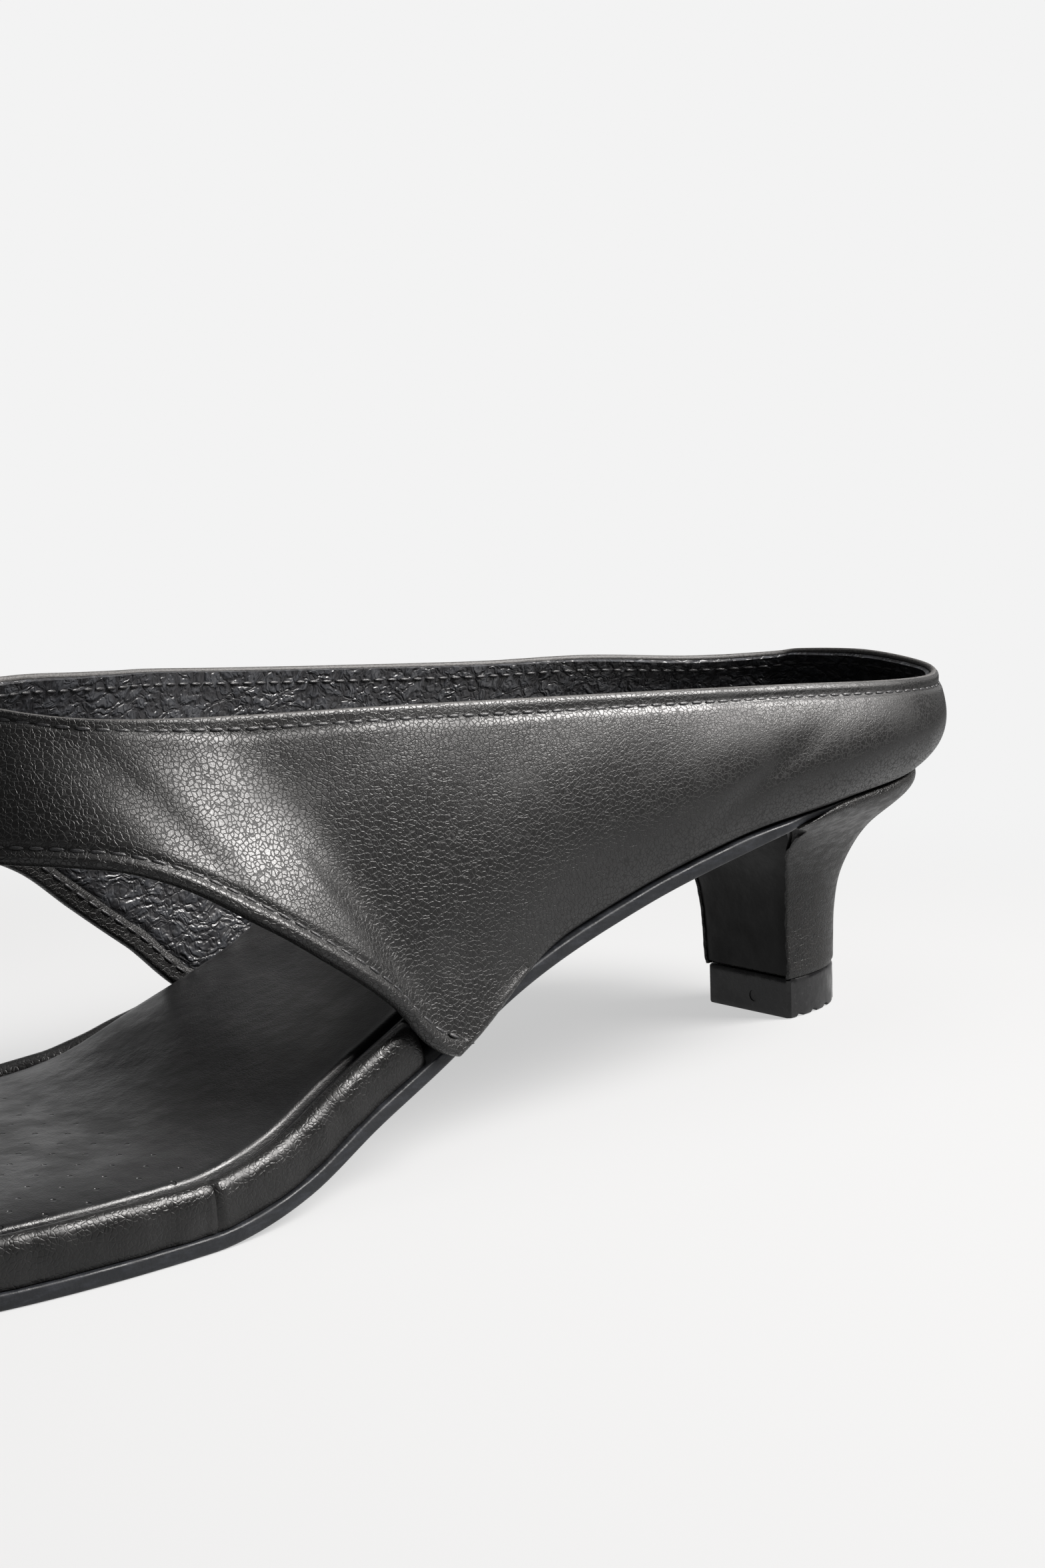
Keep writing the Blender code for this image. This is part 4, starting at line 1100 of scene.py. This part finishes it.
def make_top_piece():
    breast = HEEL_SET_BACK + TOP_PIECE_DEPTH / 2
    back = HEEL_SET_BACK - TOP_PIECE_DEPTH / 2
    angles = np.linspace(-math.pi / 2, math.pi / 2, 61)
    sections = []
    chamfer = TOP_PIECE_CHAMFER
    levels = [(0.0, chamfer), (0.3 * chamfer, 0.3 * chamfer), (chamfer, 0.0)]
    levels += [(height, 0.0) for height in np.linspace(0.0010, TOP_PIECE_HEIGHT - 0.0003, 8)]
    levels += [(TOP_PIECE_HEIGHT, 0.0002)]
    for height, inset in levels:
        depth, half = breast - back - 2 * inset, TOP_PIECE_WIDTH / 2 - inset
        x = breast - inset - depth * np.abs(np.cos(angles)) ** (2 / TOP_PIECE_SQUARENESS)
        y = half * np.sign(np.sin(angles)) * np.abs(np.sin(angles)) ** (2 / TOP_PIECE_SQUARENESS)
        x = np.minimum(x, breast - inset - BREAST_CORNER)
        front = np.linspace(half - BREAST_CORNER, BREAST_CORNER - half, 20)
        x = np.concatenate([x, np.full(20, breast - inset)])
        y = np.concatenate([y, front])
        points = in_heel(x, y, 0.0, height)
        sections.append(points)
    sections = np.array(sections)
    piece = new_piece("top_piece_block", sections, ring_faces(*sections.shape[:2]),
                      [top_piece_plastic()], 35.0)
    cutters = []
    for index in range(TREAD_GROOVES):
        bpy.ops.mesh.primitive_cylinder_add(vertices=24, radius=TREAD_GROOVE_RADIUS, depth=0.03)
        groove = bpy.context.object
        groove.rotation_euler = (math.pi / 2, 0.0, HEEL_TURN)
        groove.location = ((index - (TREAD_GROOVES - 1) / 2) * TREAD_GROOVE_PITCH, 0.0, -0.00025)
        cutters.append(groove)
    bpy.ops.mesh.primitive_cylinder_add(vertices=32, radius=MARK_RADIUS, depth=MARK_DEPTH)
    mark = bpy.context.object
    mark.rotation_euler = (0.0, math.pi / 2, HEEL_TURN)
    mark.location = (TOP_PIECE_DEPTH / 2 + 0.0001, 0.0016, 0.0026)
    cutters.append(mark)
    for cutter in cutters:
        cut = piece.modifiers.new("cut", "BOOLEAN")
        cut.operation, cut.solver, cut.object = "DIFFERENCE", "EXACT", cutter
    made = realised(piece, "top_piece_block")
    for cutter in cutters:
        bpy.data.objects.remove(cutter)
    return made


top_piece = make_top_piece()
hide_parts("top_piece")
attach(top_piece, "root")


# ---- Floor and light ----
# A pale sweep under the shoe that partly glows (painted light), and soft studio light: one broad box
# high on the heel side, a weak one overhead, a long low one for the pale backdrop behind the shoe, and
# a dim room.
PAPER = 0.896


def floor_paper():
    paper = bpy.data.materials.new("pale_paper")
    paper.use_nodes = True
    nodes, links = paper.node_tree.nodes, paper.node_tree.links
    shader = nodes["Principled BSDF"]
    shader.inputs["Base Color"].default_value = (0.42, 0.423, 0.426, 1.0)
    shader.inputs["Roughness"].default_value = 1.0
    shader.inputs["Specular IOR Level"].default_value = 0.0
    # Painted glow: the paper is an emitter as well as lit paper. From about 0.26 m out it is all glow.
    # Nearer the shoe it is 60 % glow, which lifts the shoe's cast shadow and lights the shoe from
    # below.
    painted_glow = nodes.new("ShaderNodeEmission")
    painted_glow.inputs["Color"].default_value = (PAPER, PAPER, PAPER, 1.0)
    place = nodes.new("ShaderNodeTexCoord")
    length = nodes.new("ShaderNodeVectorMath")
    length.operation = "DISTANCE"
    length.inputs[1].default_value = (0.105, 0.0, 0.0)
    glow_share = nodes.new("ShaderNodeMapRange")
    glow_share.interpolation_type = "SMOOTHSTEP"
    glow_share.inputs[1].default_value, glow_share.inputs[2].default_value = 0.14, 0.26
    glow_share.inputs[3].default_value = 0.60
    # The paper's painted glow lights other surfaces only a little way out; past it the room is dark to
    # everything but the camera
    spill = nodes.new("ShaderNodeMapRange")
    spill.interpolation_type = "SMOOTHSTEP"
    for index, value in enumerate((0.22, 0.50, 1.0, 0.10), start=1):
        spill.inputs[index].default_value = value
    seen = nodes.new("ShaderNodeLightPath")
    glow = nodes.new("ShaderNodeMath")
    glow.operation = "MAXIMUM"
    links.new(length.outputs["Value"], spill.inputs[0])
    links.new(spill.outputs[0], glow.inputs[0])
    links.new(seen.outputs["Is Camera Ray"], glow.inputs[1])
    links.new(glow.outputs[0], painted_glow.inputs["Strength"])
    mix = nodes.new("ShaderNodeMixShader")
    links.new(place.outputs["Object"], length.inputs[0])
    links.new(length.outputs["Value"], glow_share.inputs[0])
    links.new(glow_share.outputs[0], mix.inputs[0])
    links.new(shader.outputs[0], mix.inputs[1])
    links.new(painted_glow.outputs[0], mix.inputs[2])
    links.new(mix.outputs[0], nodes["Material Output"].inputs["Surface"])
    return paper


def make_floor():
    reach = 30.0
    mesh = bpy.data.meshes.new("floor")
    mesh.from_pydata([(-reach, -reach, 0), (reach, -reach, 0), (reach, reach, 0), (-reach, reach, 0)],
                     [], [(0, 1, 2, 3)])
    mesh.materials.append(floor_paper())
    piece = bpy.data.objects.new("floor", mesh)
    bpy.context.scene.collection.objects.link(piece)
    return piece


make_floor()

world = bpy.context.scene.world or bpy.data.worlds.new("room")
bpy.context.scene.world = world
world.use_nodes = True
room = world.node_tree.nodes
background = room["Background"]
background.inputs["Color"].default_value = (1.0, 1.0, 1.0, 1.0)
background.inputs["Strength"].default_value = 0.10
seen = room.new("ShaderNodeBackground")
seen.inputs["Color"].default_value = (PAPER, PAPER, PAPER, 1.0)
paths = room.new("ShaderNodeLightPath")
choice = room.new("ShaderNodeMixShader")
world.node_tree.links.new(paths.outputs["Is Camera Ray"], choice.inputs[0])
world.node_tree.links.new(background.outputs[0], choice.inputs[1])
world.node_tree.links.new(seen.outputs[0], choice.inputs[2])
world.node_tree.links.new(choice.outputs[0], room["World Output"].inputs["Surface"])


def softbox(name, place, target, size, power, spread=math.pi, colour=(1.0, 1.0, 1.0)):
    light = bpy.data.lights.new(name, "AREA")
    light.shape = "RECTANGLE"
    light.size, light.size_y = size
    light.energy = power
    lamp = bpy.data.objects.new(name, light)
    lamp.location = place
    aim = Vector(target) - Vector(place)
    lamp.rotation_euler = aim.to_track_quat("-Z", "Y").to_euler()
    lamp.visible_camera = False
    light.spread = spread
    light.color = colour
    bpy.context.scene.collection.objects.link(lamp)


softbox("key_box", (-0.46, 0.44, 0.72), (0.15, 0.03, 0.05), (0.5, 0.5), 5.6,
        math.radians(75.0), (1.0, 0.975, 0.955))
softbox("overhead_box", (0.05, -0.10, 1.30), (0.05, 0.0, 0.0), (1.1, 1.1), 3.0)
softbox("backdrop_box", (-0.87, -1.16, 0.36), (0.10, 0.0, 0.03), (2.2, 0.7), 3.4)


# ---- Camera ----
# The photograph's own stand: low beside the outer back quarter, rolled about two degrees.
camera_data = bpy.data.cameras.new("camera")
camera_data.lens = 71.93
camera_data.sensor_width = 36.0
camera_data.clip_start, camera_data.clip_end = 0.02, 80.0
camera = bpy.data.objects.new("camera", camera_data)
right = Vector((-0.76898, 0.63840, -0.03333))
up = Vector((-0.13689, -0.11351, 0.98406))
back = Vector((0.62444, 0.76129, 0.17468))
camera.matrix_world = (Matrix.Translation((0.32911, 0.33945, 0.11908))
                       @ Matrix((right, up, back)).transposed().to_4x4())
bpy.context.scene.collection.objects.link(camera)
bpy.context.scene.camera = camera
bpy.context.scene.view_settings.view_transform = "Standard"
